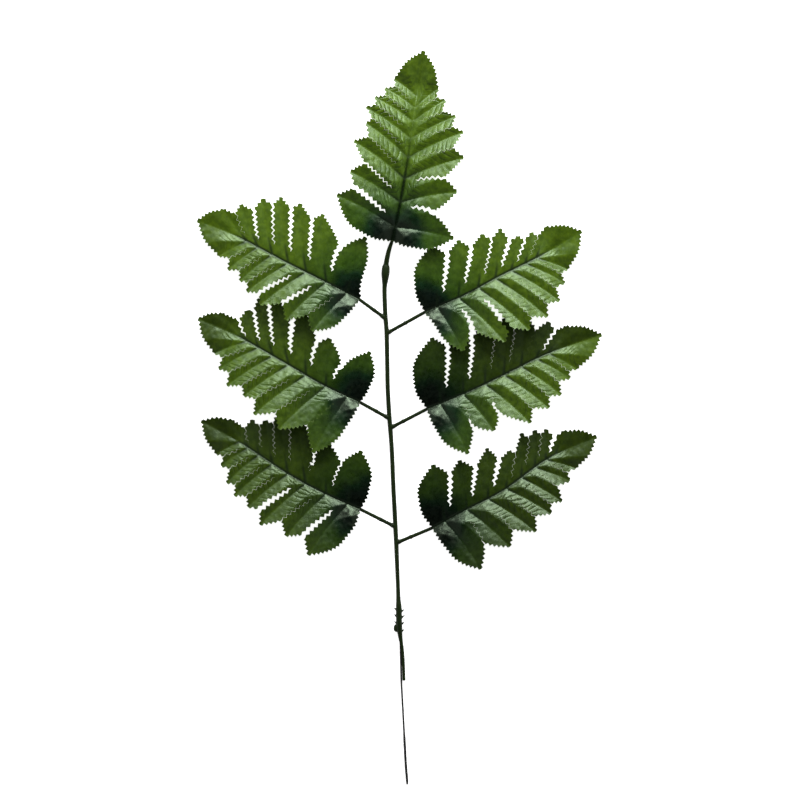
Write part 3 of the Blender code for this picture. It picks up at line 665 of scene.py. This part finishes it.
    def height(self, points, fields):
        """Height of the cloth's upper face over plan points, without its fine wrinkles."""
        off, half = fields["off"], fields["half"]
        lift = np.where(fields["side"] > 0, self.lift["right"], self.lift["left"])
        across = fields["first"] / np.maximum(half, 1e-9)
        ridge = RIDGE_ROUND * np.sin(np.pi / 2 * across) + (1 - RIDGE_ROUND) * across
        relief = self.folds(fields) * np.minimum(RELIEF_MOST, RELIEF_SLOPE * half) * ridge
        out = self.midrib_height(fields["share"])
        level = smoothstep(fields["share"], *LEVEL_TIP)
        return out + (1 - level) * (lift * off - LOBE_CURL * (off / LOBE_REACH) ** 2) + relief

    def pleats(self, points, fields):
        """Where the pressed veinlets run, in millimetres across them, and how deep they are, up to 1."""
        first, half = fields["first"], np.maximum(fields["half"], 1e-9)
        run = fields["vein_run"] + PLEAT_SLANT * first + self.waves(points, *PLEAT_WANDER)
        depth = smoothstep(first / half, *PLEAT_OFF_VEIN) * smoothstep(half, *PLEAT_LEAST_ROOM)
        depth *= 1 - smoothstep(half, *PLEAT_MOST_ROOM)
        depth *= smoothstep(fields["share"], *PLEAT_STARTS) * (1 - smoothstep(fields["share"], *PLEAT_ENDS))
        depth *= np.where(self.folds(fields) > FULL_FOLD, 1.0, PLEAT_WEAK)
        return run * MM, depth * (PLEAT_MEAN + self.waves(points, *PLEAT_CHANGE))

    def folds(self, fields):
        """The fold factor of the half that each point is on."""
        return np.where(fields["side"] > 0, self.fold["right"], self.fold["left"])

    def wrinkles(self, points, fields):
        """The pressed groove along the midrib, and the cloth's unevenness."""
        uneven = FLAT_UNEVEN + (1 - FLAT_UNEVEN) * self.folds(fields)
        uneven *= smoothstep(fields["first"], *UNEVEN_OFF_VEIN)
        waves = self.waves(points, *WRINKLES) + self.waves(points, *CRINKLES)
        pressed = 1 - smoothstep(fields["off"], 0, GROOVE_HALF_WIDTH)
        pressed *= 1 - smoothstep(fields["share"], *self.rib_groove_fade)
        return uneven * waves - GROOVE_DEPTH * pressed

    def waves(self, points, height, size, seed):
        """This leaf's own smooth noise, with waves of the given height and size."""
        return height * noise_at(points, size, self.seed + seed)


def inside(points, loop):
    """Whether each plan point lies inside a closed loop."""
    result = np.zeros(len(points), bool)
    for a, b in zip(loop, np.roll(loop, -1, axis=0)):
        crosses = (a[1] > points[:, 1]) != (b[1] > points[:, 1])
        x = (b[0] - a[0]) * (points[:, 1] - a[1]) / (b[1] - a[1] + 1e-30) + a[0]
        result ^= crosses & (points[:, 0] < x)
    return result


def grid_inside(loop, lines, step):
    """Points of a hexagonal grid inside a loop, kept off it and off the lines."""
    low, high = loop.min(axis=0), loop.max(axis=0)
    rows = []
    for k, y in enumerate(np.arange(low[1], high[1], step * math.sqrt(0.75))):
        xs = np.arange(low[0] + (k % 2) * step / 2, high[0], step)
        rows.append(np.column_stack([xs, np.full(len(xs), y)]))
    points = np.vstack(rows)
    points = points[inside(points, loop)]
    clear = np.min([distance_to(points, line) for line in [closed(loop), *lines]], axis=0)
    return points[clear > MESH_MARGIN * step]


def triangulated(outline, chains, extra):
    """Triangles inside an outline that keep to chains of inner points, and use the extra points."""
    points = [Vector(p) for p in outline]
    count = len(points)
    edges = [(k, (k + 1) % count) for k in range(count)]
    for chain in chains:
        start = len(points)
        points += [Vector(p) for p in chain]
        edges += [(k, k + 1) for k in range(start, len(points) - 1)]
    points += [Vector(p) for p in extra]
    verts, _, faces, *_ = geometry.delaunay_2d_cdt(points, edges, [], 1, 1e-7)
    return np.array([tuple(v) for v in verts]), [tuple(f) for f in faces]


def thickened(plan_points, faces, top, depth):
    """A closed sheet: the triangles on top, the same ones below, and a wall along the open edges."""
    count = len(plan_points)
    verts = np.vstack([np.column_stack([plan_points, top]), np.column_stack([plan_points, top - depth])])
    halves = {(f[i], f[(i + 1) % 3]) for f in faces for i in range(3)}
    rim = [(a, b) for a, b in halves if (b, a) not in halves]
    out = list(faces) + [(c + count, b + count, a + count) for a, b, c in faces]
    for a, b in sorted(rim):
        out += [(b, a, a + count), (b, a + count, b + count)]
    return verts, out


def add_mesh(name, verts, faces, sharp_above=None):
    """A smooth-shaded mesh object."""
    mesh = bpy.data.meshes.new(name)
    mesh.from_pydata([tuple(map(float, v)) for v in verts], [], [tuple(map(int, f)) for f in faces])
    mesh.shade_smooth()
    if sharp_above:
        mesh.set_sharp_from_angle(angle=math.radians(sharp_above))
    obj = bpy.data.objects.new(name, mesh)
    bpy.context.scene.collection.objects.link(obj)
    return obj


def face_out(obj):
    """Turn every face of a closed mesh outwards."""
    bm = bmesh.new()
    bm.from_mesh(obj.data)
    bmesh.ops.recalc_face_normals(bm, faces=bm.faces)
    bm.to_mesh(obj.data)
    bm.free()


def ring(centre, ahead, radius, sides):
    """A ring of points round a centre, square to the way ahead."""
    ahead = Vector(ahead).normalized()
    across = ahead.cross(Vector((0, 0, 1))).normalized()
    up = across.cross(ahead)
    angles = [2 * math.pi * k / sides for k in range(sides)]
    return [Vector(centre) + (across * math.cos(a) + up * math.sin(a)) * float(radius) for a in angles]


def tube(path, radii, sides, on_floor=False):
    """Vertices and faces of a closed tube along a path. One on the floor is flattened at z = 0."""
    verts, faces = [], []
    path = [Vector([float(x) for x in p]) for p in path]
    for k, (centre, radius) in enumerate(zip(path, radii)):
        ahead = path[min(k + 1, len(path) - 1)] - path[max(k - 1, 0)]
        points = ring(centre, ahead, radius, sides)
        if on_floor:
            for point in points:
                point.z = max(point.z, 0.0)
        verts += points
    for k in range(len(path) - 1):
        a, b = k * sides, (k + 1) * sides
        for i in range(sides):
            j = (i + 1) % sides
            faces.append((a + i, a + j, b + j, b + i))
    faces.append(tuple(range(sides))[::-1])
    faces.append(tuple(range(len(verts) - sides, len(verts))))
    return verts, faces


def joined(shapes):
    """Several vertex and face lists as one."""
    verts, faces = [], []
    for more_verts, more_faces in shapes:
        start = len(verts)
        verts += list(more_verts)
        faces += [tuple(i + start for i in f) for f in more_faces]
    return verts, faces


def smooth_run(path, radii, step):
    """A path and its radii as a smooth curve in even steps."""
    points = np.column_stack([np.array([tuple(p) for p in path], float), np.asarray(radii, float)])
    count = max(4, round(length_of(points[:, :3]) / step))
    fine = spline(points, count)
    return fine[:, :3], fine[:, 3]


def stem_line():
    """The stem's centre line in space, level at its top face, and its radius at each point."""
    plan_points = [plan(x, y) for x, y, _ in STEM_PX]
    radii = [r for _, _, r in STEM_PX]
    heights = [FLAT_SHARE * r for r in radii]
    heights[0] = heights[1]
    return [(x, y, z) for (x, y), z in zip(plan_points, heights)], radii


def wire_line():
    """The wire's centre line: along the stem's core, then out beside its tail."""
    core, _ = stem_line()
    top = plan(0, WIRE_TOP_PX)[1]
    leaves = plan(0, WIRE_LEAVES_PX)[1]
    xs, ys, zs = zip(*core)
    ys_up = ys[::-1]
    start = (np.interp(top, ys_up, xs[::-1]), top, np.interp(top, ys_up, zs[::-1]))
    inner = [p for p in core if leaves < p[1] < top]
    outer = [(*plan(x, y), z) for x, y, z in WIRE_PX]
    return [start] + inner + outer


def stub_line(name, rib_start):
    """The straight axis of a socket: its root in the stem, its end, and the way ahead."""
    (x, y), share = BRANCHES[name]
    root = Vector((*plan(x, y), FLAT_SHARE * STUB_CORE_RADIUS))
    ahead = Vector(rib_start) - root
    return root, root + ahead * share, ahead.normalized()


def rib_path(leaf):
    """The rib's centre line under the cloth, and its radius at each point."""
    shares = np.linspace(RIB_START, RIB_END, RIB_POINTS)
    points = along(leaf.midrib, shares)
    radii = RIB_RADIUS + (RIB_END_RADIUS - RIB_RADIUS) * shares / RIB_END
    heights = leaf.height(points, leaf.fields(points)) - SOLID_CLOTH - GAP - radii
    return np.column_stack([points, heights]), radii


def pin_start(name, leaf):
    """Where a leaf's stalk meets its socket, and the way ahead there."""
    rib, _ = rib_path(leaf)
    if name == "top":
        line, _ = stem_line()
        top, below = Vector(line[0]), Vector(line[1])
        return top, (top - below).normalized()
    _, end, ahead = stub_line(name, rib[0])
    return end, ahead


def make_cloth(leaf, finish):
    """The leaf's cloth, with what its material needs stored on its points."""
    loop = leaf.outline()
    chains = []
    for line in [leaf.midrib, *leaf.veins["left"], *leaf.veins["right"]]:
        ends = MIDRIB_CHAIN if line is leaf.midrib else VEIN_CHAIN
        chains.append(along(line, np.linspace(*ends, round(length_of(line) / MESH_STEP))))
    grid = grid_inside(loop, chains, MESH_STEP)
    points, faces = triangulated(loop, chains, grid)
    fields = leaf.fields(points)
    top = leaf.height(points, fields) + leaf.wrinkles(points, fields)
    top = np.maximum(top, CLOTH)
    verts, faces = thickened(points, faces, top, CLOTH)
    obj = add_mesh(f"cloth_{leaf.name}", verts, faces, SHARP_CLOTH)
    base = np.linalg.norm(points - leaf.midrib[0], axis=1) / leaf.size
    # Painted shade in the grooves: a wedge along each side vein near the midrib, which on the top leaf fades
    # out with the midrib's groove, and a line along the midrib that fades out with its groove.
    faded = smoothstep(fields["share"], *leaf.rib_groove_fade)
    wedge = 1 - smoothstep(fields["vein_share"], *VEIN_SHADE_FADE)
    if leaf.is_top:
        wedge *= 1 - TOP_VEIN_FADE * faded
    # Painted shade of this leaf, of each half and of its tip, blended across the midrib.
    shade_left, shade_right, shade_tip = LEAF_SHADE[leaf.name]
    across_rib = smoothstep(fields["off"] * fields["side"], *HALF_BLEND)
    painted_shade = shade_left + (shade_right - shade_left) * across_rib
    painted_shade *= 1 + (shade_tip - 1) * smoothstep(fields["share"], *TIP_SHADE)
    pleat, pleat_depth = leaf.pleats(points, fields)
    for name, values in (
        ("base_gap", base),
        ("rib_gap", fields["off"] * MM),
        ("vein_gap", fields["first"] * MM),
        ("edge_gap", distance_to(points, closed(loop)) * MM),
        ("wedge", wedge),
        ("spine", RIB_DARKNESS * (1 - faded)),
        ("painted_shade", painted_shade),
        ("pleat", pleat),
        ("pleat_depth", pleat_depth),
    ):
        layer = obj.data.attributes.new(name, "FLOAT", "POINT")
        layer.data.foreach_set("value", np.tile(values, 2).astype(np.float32))
    obj.data.materials.append(finish)
    ahead = leaf.midrib[-1] - leaf.midrib[0]
    ahead /= np.linalg.norm(ahead)
    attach(obj, "root")
    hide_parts(f"leaf_{leaf.name}")


def make_ribs(leaf, finish):
    """The stalk with its pin, the rib and its side ribs."""
    end, ahead = pin_start(leaf.name, leaf)
    rib, rib_radii = rib_path(leaf)
    radius, collar = (TOP_STALK_RADIUS, TOP_COLLAR_RADIUS) if leaf.is_top else (STALK_RADIUS, STALK_RADIUS)
    shoulder = end + ahead * SEAM_GAP
    stalk = [shoulder + ahead * COLLAR_RUN]
    radii = [radius]
    if leaf.is_top:
        heights = np.linspace(stalk[-1].z, rib[0][2], len(TOP_STALK_PX) + 2)[1:-1]
        stalk += [Vector((*plan(x, y), z)) for (x, y, _), z in zip(TOP_STALK_PX, heights)]
        radii += [r for _, _, r in TOP_STALK_PX]
    run, run_radii = smooth_run(stalk + [Vector(p) for p in rib], radii + list(rib_radii), RIB_STEP)
    pin = [end - ahead * PIN_LENGTH, shoulder - ahead * PIN_STEP, shoulder, shoulder + ahead * COLLAR_EDGE]
    pin_radii = [PIN_RADIUS, PIN_RADIUS, COLLAR_EDGE_SHARE * collar, collar]
    shapes = [tube(pin + [Vector(p) for p in run], [*pin_radii, *run_radii], RIB_SIDES)]
    for veins in leaf.veins.values():
        for vein in veins[:-1]:
            points = along(vein, np.linspace(0, SIDE_RIB_END, SIDE_RIB_POINTS))
            drop = SOLID_CLOTH + GAP + SIDE_RIB_RADIUS + SIDE_RIB_SINK
            heights = leaf.height(points, leaf.fields(points)) - drop
            side_radii = SIDE_RIB_RADIUS * np.linspace(1, SIDE_RIB_TAPER, SIDE_RIB_POINTS)
            shapes.append(tube(np.column_stack([points, heights]), side_radii, SIDE_RIB_SIDES))
    obj = add_mesh(f"ribs_{leaf.name}", *joined(shapes), SHARP_SOLID)
    face_out(obj)
    obj.data.materials.append(finish)
    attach(obj, "root")
    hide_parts(f"rib_{leaf.name}")


def barb(tip_px):
    """One barb of the stem: a four-sided point that leans towards the stem's top."""
    tip = Vector((*plan(*tip_px), 0))
    core = plan(BARB_CORE_PX, tip_px[1])[0]
    inner = core - math.copysign(BARB_INSIDE, core - tip.x)
    root = tip.y - BARB_DROP
    levels = (BARB_HEIGHT - BARB_HALF_HEIGHT, BARB_HEIGHT + BARB_HALF_HEIGHT)
    verts = [(inner, y, z) for z in levels for y in (root - BARB_ROOT, root + BARB_HEAD)]
    verts.append((tip.x, tip.y, BARB_HEIGHT))
    return verts, [(0, 1, 3, 2), (0, 1, 4), (1, 3, 4), (3, 2, 4), (2, 0, 4)]


def flash():
    """The lump of flash on the left of the barbs."""
    bm = bmesh.new()
    bmesh.ops.create_icosphere(bm, subdivisions=3, radius=1.0, matrix=Matrix.Diagonal((*FLASH_RADII, 1)))
    centre = Vector((*plan(*FLASH_PX), FLASH_HEIGHT))
    uneven = Vector(FLASH_UNEVEN)
    verts = [v.co + centre + uneven * noise.noise(v.co * LUMPS_PER_METRE) for v in bm.verts]
    faces = [[v.index for v in f.verts] for f in bm.faces]
    bm.free()
    return verts, faces


def boolean(obj, cutters):
    """Cut closed shapes out of an object."""
    group = bpy.data.collections.new(f"{obj.name}_cutters")
    for cutter in cutters:
        group.objects.link(cutter)
    step = obj.modifiers.new("Difference", "BOOLEAN")
    step.operation = "DIFFERENCE"
    step.operand_type = "COLLECTION"
    step.collection = group
    step.solver = "EXACT"
    bake_modifiers(obj)
    for cutter in cutters:
        bpy.data.objects.remove(cutter, do_unlink=True)
    bpy.data.collections.remove(group)


def bake_modifiers(obj):
    """Apply every modifier of an object."""
    depsgraph = bpy.context.evaluated_depsgraph_get()
    mesh = bpy.data.meshes.new_from_object(obj.evaluated_get(depsgraph))
    obj.modifiers.clear()
    obj.data = mesh


def make_stem(leaves, finish):
    """The stem moulding: core, sockets, barbs and tail, softly run together, and bored."""
    line, radii = smooth_run(*stem_line(), STEM_STEP)
    shapes = [tube(line, radii, STEM_SIDES, on_floor=True), flash()]
    shapes += [barb(tip) for tip in BARB_TIPS_PX]
    cutters = []
    for name, leaf in leaves.items():
        end, ahead = pin_start(name, leaf)
        bore = [end - ahead * (PIN_LENGTH + GAP), end + ahead * BORE_OVERRUN]
        shape = tube(bore, [PIN_RADIUS + GAP] * 2, STUB_SIDES)
        cutters.append(add_mesh(f"bore_{name}", *shape))
        if name == "top":
            continue
        root, end, ahead = stub_line(name, rib_path(leaf)[0][0])
        full, slim = STUB_SWELL
        path = [root, root + ahead * full, root + ahead * slim, end - ahead * STUB_LIP]
        path += [end - ahead * STUB_LIP * STUB_LIP_FULL, end]
        swell = [STUB_ROOT_RADIUS * STUB_START, STUB_ROOT_RADIUS, STUB_RADIUS, STUB_RADIUS]
        swell += [STUB_LIP_RADIUS] * 2
        shapes.append(tube(*smooth_run(path, swell, STEM_STEP), STUB_SIDES))
    stem = add_mesh("stem_moulding", *joined(shapes))
    face_out(stem)
    remesh = stem.modifiers.new("Remesh", "REMESH")
    remesh.mode = "VOXEL"
    remesh.voxel_size = STEM_VOXEL
    soften = stem.modifiers.new("Smooth", "SMOOTH")
    soften.iterations = STEM_SOFTENING
    soften.factor = 0.5
    bake_modifiers(stem)
    wire_path = [Vector(p) for p in wire_line() if p[1] > plan(0, WIRE_BORE_END_PX)[1]]
    wire_path[0] += (wire_path[0] - wire_path[1]).normalized() * GAP
    bore = tube(wire_path, [WIRE_RADIUS + GAP] * len(wire_path), STUB_SIDES)
    cutters.append(add_mesh("bore_wire", *bore))
    for cutter in cutters:
        face_out(cutter)
    boolean(stem, cutters)
    for vertex in stem.data.vertices:
        vertex.co.z = max(vertex.co.z, 0.0)
    stem.data.shade_smooth()
    stem.data.set_sharp_from_angle(angle=math.radians(SHARP_SOLID))
    stem.data.materials.clear()
    stem.data.materials.append(finish)
    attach(stem, "root")
    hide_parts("stem")


def make_wire(finish):
    """The steel wire, coated, with a rough and thicker stretch near its lower end."""
    path, _ = smooth_run(wire_line(), [WIRE_RADIUS] * len(wire_line()), WIRE_STEP)
    high, low = [plan(0, y_px)[1] for y_px in WIRE_ROUGH_PX]
    low_fade, high_fade = WIRE_ROUGH_FADES
    ys = path[:, 1]
    rough = smoothstep(ys, low - low_fade, low + low_fade)
    rough *= 1 - smoothstep(ys, high - high_fade, high + high_fade)
    radii = WIRE_RADIUS + (WIRE_ROUGH_RADIUS - WIRE_RADIUS) * rough
    verts, faces = tube(path, radii, WIRE_SIDES)
    shaped = []
    for k, vertex in enumerate(verts):
        centre = Vector(path[k // WIRE_SIDES])
        lumps = WIRE_LUMPS * rough[k // WIRE_SIDES] * noise.noise(vertex * LUMPS_PER_METRE)
        pits = WIRE_PITS * noise.noise(vertex * PITS_PER_METRE)
        point = centre + (vertex - centre) * (1 + (lumps + pits))
        point.z = max(point.z, 0.0)
        shaped.append(point)
    wire = add_mesh("wire_core", shaped, faces, SHARP_SOLID)
    face_out(wire)
    wire.data.materials.append(finish)
    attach(wire, "root")
    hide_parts("stem_wire")


def srgb(colour):
    """A linear colour from red, green and blue between 0 and 255."""
    parts = [level / 255 for level in colour]
    return (*(p / 12.92 if p <= 0.04045 else ((p + 0.055) / 1.055) ** 2.4 for p in parts), 1)


class Nodes:
    """Short ways to add nodes to a material or a world."""

    def __init__(self, owner):
        owner.use_nodes = True
        self.owner = owner
        self.tree = owner.node_tree

    def put(self, socket, value):
        """Link a socket, or set its value."""
        if isinstance(value, bpy.types.NodeSocket):
            self.tree.links.new(value, socket)
        else:
            socket.default_value = value

    def add(self, kind, inputs=(), **settings):
        """A node with its settings, and with its inputs linked or set."""
        made = self.tree.nodes.new(kind)
        for name, value in settings.items():
            setattr(made, name, value)
        for name, value in dict(inputs).items():
            self.put(made.inputs[name], value)
        return made

    def maths(self, operation, a, b=0.0):
        """A Math node's result."""
        return self.add("ShaderNodeMath", {0: a, 1: b}, operation=operation).outputs[0]

    def times(self, a, b):
        """The product of two values."""
        return self.maths("MULTIPLY", a, b)

    def stored(self, name):
        """A number stored on the mesh."""
        return self.add("ShaderNodeAttribute", attribute_name=name).outputs["Fac"]

    def place(self):
        """The point in the object's own frame, in metres."""
        return self.add("ShaderNodeTexCoord").outputs["Object"]

    def noise(self, scale, detail=2.0, vector=None, roughness=0.5):
        """A Noise Texture's value."""
        inputs = {"Vector": vector or self.place(), "Scale": scale, "Detail": detail, "Roughness": roughness}
        return self.add("ShaderNodeTexNoise", inputs).outputs[0]

    def between(self, value, low, high, at_low, at_high):
        """A soft ramp from one number to another."""
        inputs = {"Value": value, "From Min": low, "From Max": high, "To Min": at_low, "To Max": at_high}
        return self.add("ShaderNodeMapRange", inputs, interpolation_type="SMOOTHSTEP").outputs[0]

    def ramp(self, value, stops):
        """A colour ramp through (place, colour) stops."""
        made = self.add("ShaderNodeValToRGB", {"Fac": value})
        elements = made.color_ramp.elements
        while len(elements) < len(stops):
            elements.new(0.5)
        for element, (place, colour) in zip(elements, stops):
            element.position = place
            element.color = srgb(colour)
        return made.outputs["Color"]

    def mix(self, factor, a, b, blend="MIX"):
        """One colour mixed over another."""
        made = self.add("ShaderNodeMix", {0: factor}, data_type="RGBA", blend_type=blend)
        self.put(made.inputs[6], a)
        self.put(made.inputs[7], b)
        return made.outputs[2]

    def bump(self, height, distance, strength, normal=None):
        """A Bump node's normal."""
        inputs = {"Height": height, "Distance": distance, "Strength": strength}
        if normal:
            inputs["Normal"] = normal
        return self.add("ShaderNodeBump", inputs).outputs[0]

    def finish(self, colour, roughness, normal, **others):
        """Feed the shader, and hand over the material."""
        inputs = {"Base Color": colour, "Roughness": roughness, "Normal": normal}
        for name, value in others.items():
            inputs[name.replace("_", " ")] = value
        for name, value in inputs.items():
            self.put(self.tree.nodes["Principled BSDF"].inputs[name], value)
        return self.owner


def cloth_finish():
    """Printed polyester: olive tips, airbrushed dark teal base, painted shade in grooves, painted edge
    highlight.
    """
    f = Nodes(bpy.data.materials.new("leaf_cloth"))
    vein, wedge, painted_shade = f.stored("vein_gap"), f.stored("wedge"), f.stored("painted_shade")
    cloud = f.maths("SUBTRACT", f.noise(70, 3), 0.5)
    reach = f.maths("ADD", f.stored("base_gap"), f.times(cloud, BASE_WANDER))
    blot = f.between(f.noise(240, 3, roughness=0.6), *MOTTLE)
    colour = f.mix(blot, f.ramp(reach, GROUND), srgb(MOTTLE_COLOUR), "SOFT_LIGHT")
    # Painted shade: each leaf, half and tip darkened towards black by its stored factor.
    colour = f.mix(painted_shade, srgb((0, 0, 0)), colour)
    # Painted shade in the grooves of the side veins near the midrib, darkest at their cores, and in the
    # midrib's groove.
    colour = f.mix(f.times(f.between(vein, *VEIN_SHADE), wedge), colour, srgb(VEIN_SHADE_COLOUR))
    core = f.times(f.between(vein, *VEIN_CORE), f.times(wedge, wedge))
    colour = f.mix(core, colour, srgb(GROOVE_SHADE_COLOUR))
    rib = f.times(f.between(f.stored("rib_gap"), *RIB_CORE), f.stored("spine"))
    colour = f.mix(rib, colour, srgb(GROOVE_SHADE_COLOUR))
    # Pressed veinlets: their creases dent the bump below and get painted shade.
    wave = f.maths("SINE", f.times(f.stored("pleat"), math.pi / PLEAT_PITCH_MM))
    sharp = f.maths("POWER", f.maths("SUBTRACT", 1.0, f.maths("ABSOLUTE", wave)), PLEAT_POWER)
    crease = f.times(sharp, f.stored("pleat_depth"))
    colour = f.mix(f.times(crease, CREASE_SHADE), colour, srgb(CREASE_SHADE_COLOUR))
    # Painted highlight on the cut edges, as raw edges catching the light, broken up by noise and dimmed with
    # the painted shade.
    highlight_breaks = f.between(f.noise(700, 2), *EDGE_HIGHLIGHT_BREAKS)
    edge_highlight = f.times(f.between(f.stored("edge_gap"), *EDGE_HIGHLIGHT), highlight_breaks)
    colour = f.mix(f.times(edge_highlight, painted_shade), colour, srgb(EDGE_HIGHLIGHT_COLOUR))
    split = f.add("ShaderNodeSeparateXYZ", {"Vector": f.place()})
    warp, weft = (f.maths("SINE", f.times(split.outputs[axis], 2 * math.pi / WEAVE_PITCH)) for axis in "XY")
    normal = f.bump(f.times(warp, weft), WEAVE_HEIGHT, 0.5)
    normal = f.bump(f.noise(900, 2), FUZZ_HEIGHT, 0.7, normal)
    normal = f.bump(f.times(crease, -1.0), PLEAT_DEPTH, 1.0, normal)
    grain = f.between(f.noise(420, 2), *CLOTH_GRAIN)
    rough = f.maths("ADD", f.between(reach, *CLOTH_ROUGH), grain)
    gloss, sheen = srgb(GLOSS_COLOUR), srgb(SHEEN_COLOUR)
    return f.finish(
        colour, rough, normal, Specular_Tint=gloss, Sheen_Weight=0.02, Sheen_Roughness=0.4, Sheen_Tint=sheen
    )


def plastic_finish(name):
    """Moulded plastic with faint flow marks and a fine grain."""
    dark, light, rough = PLASTICS[name]
    f = Nodes(bpy.data.materials.new(name))
    flow = f.add("ShaderNodeMapping", {"Vector": f.place(), "Scale": FLOW}).outputs[0]
    colour = f.mix(f.noise(500, 3, flow), srgb(dark), srgb(light))
    roughness = f.between(f.noise(1200, 2), 0.3, 0.7, rough - ROUGH_SPREAD, rough + ROUGH_SPREAD)
    normal = f.bump(f.noise(900, 2, flow), FLOW_HEIGHT, 0.6)
    normal = f.bump(f.noise(4000, 2), GRAIN_HEIGHT, 0.5, normal)
    return f.finish(colour, roughness, normal, Specular_IOR_Level=0.15)


def wire_finish():
    """Steel wire in worn dark green-black coating."""
    f = Nodes(bpy.data.materials.new("wire_steel"))
    wear = f.between(f.noise(1500, 4, roughness=0.7), *WIRE_WEAR)
    colour = f.mix(wear, srgb(COATING_COLOUR), srgb(WORN_COLOUR))
    roughness = f.between(f.noise(2200, 2), *WIRE_ROUGH)
    return f.finish(colour, roughness, f.bump(f.noise(2600, 3), COATING_HEIGHT, 0.8), Metallic=0.2)


def make_floor():
    """A plain pale floor, faintly lit from below."""
    corners = [(-1, -1), (1, -1), (1, 1), (-1, 1)]
    floor = add_mesh("floor", [(FLOOR_HALF * x, FLOOR_HALF * y, 0) for x, y in corners], [(0, 1, 2, 3)])
    f = Nodes(bpy.data.materials.new("floor"))
    tone = f.mix(f.noise(3, 2), *((level, level, level, 1) for level in FLOOR_TONES))
    uneven = f.bump(f.noise(300, 2), 0.0001, 0.1)
    paper = f.finish(tone, 0.9, uneven, Emission_Color=(1, 1, 1, 1), Emission_Strength=FLOOR_GLOW)
    floor.data.materials.append(paper)
    floor.location.z = -FLOOR_DROP


def area_lamp(name, at, size, power):
    """A rectangular lamp, aimed at the spray."""
    light = bpy.data.lights.new(name, "AREA")
    light.shape = "RECTANGLE"
    light.size, light.size_y = size
    light.energy = power
    lamp = bpy.data.objects.new(name, light)
    lamp.location = at
    lamp.rotation_euler = (Vector(at) - Vector(LAMP_AIM)).to_track_quat("Z", "Y").to_euler()
    bpy.context.scene.collection.objects.link(lamp)
    return lamp


def make_light():
    """A soft box beyond the tip, low over the floor, a weak fill above, and a pale tent open overhead."""
    area_lamp("soft_box", *SOFT_BOX)
    fill = area_lamp("fill_box", *FILL_BOX)
    fill.visible_glossy = False
    n = Nodes(bpy.data.worlds.new("tent"))
    way = n.add("ShaderNodeTexCoord").outputs["Generated"]
    split = n.add("ShaderNodeSeparateXYZ", {"Vector": way})
    levels = [n.between(split.outputs[axis], *ramp) for axis, *ramp in TENT]
    background = n.tree.nodes["Background"]
    n.put(background.inputs["Color"], (1, 1, 1, 1))
    n.put(background.inputs["Strength"], n.times(*levels))
    bpy.context.scene.world = n.owner
    bpy.context.scene.view_settings.view_transform = "Standard"


def make_camera():
    """Straight down, framed as the 800 by 800 view, from far enough to be almost without perspective."""
    camera = bpy.data.cameras.new("camera")
    camera.lens = camera.sensor_width * VIEW_HEIGHT / (VIEW_WIDTH_PX * PIXEL)
    obj = bpy.data.objects.new("camera", camera)
    obj.location = (*plan(*VIEW_PX), VIEW_HEIGHT + VIEW_FRONT)
    bpy.context.scene.collection.objects.link(obj)
    bpy.context.scene.camera = obj


def build():
    """Dress the whole spray and light it."""
    make_camera()
    cloth = cloth_finish()
    ribs = plastic_finish("rib_plastic")
    plastic = plastic_finish("stem_plastic")
    leaves = {name: Leaf(name, spec) for name, spec in LEAVES.items()}
    for leaf in leaves.values():
        make_ribs(leaf, ribs)
        make_cloth(leaf, cloth)
    make_stem(leaves, plastic)
    make_wire(wire_finish())
    make_floor()
    make_light()


build()
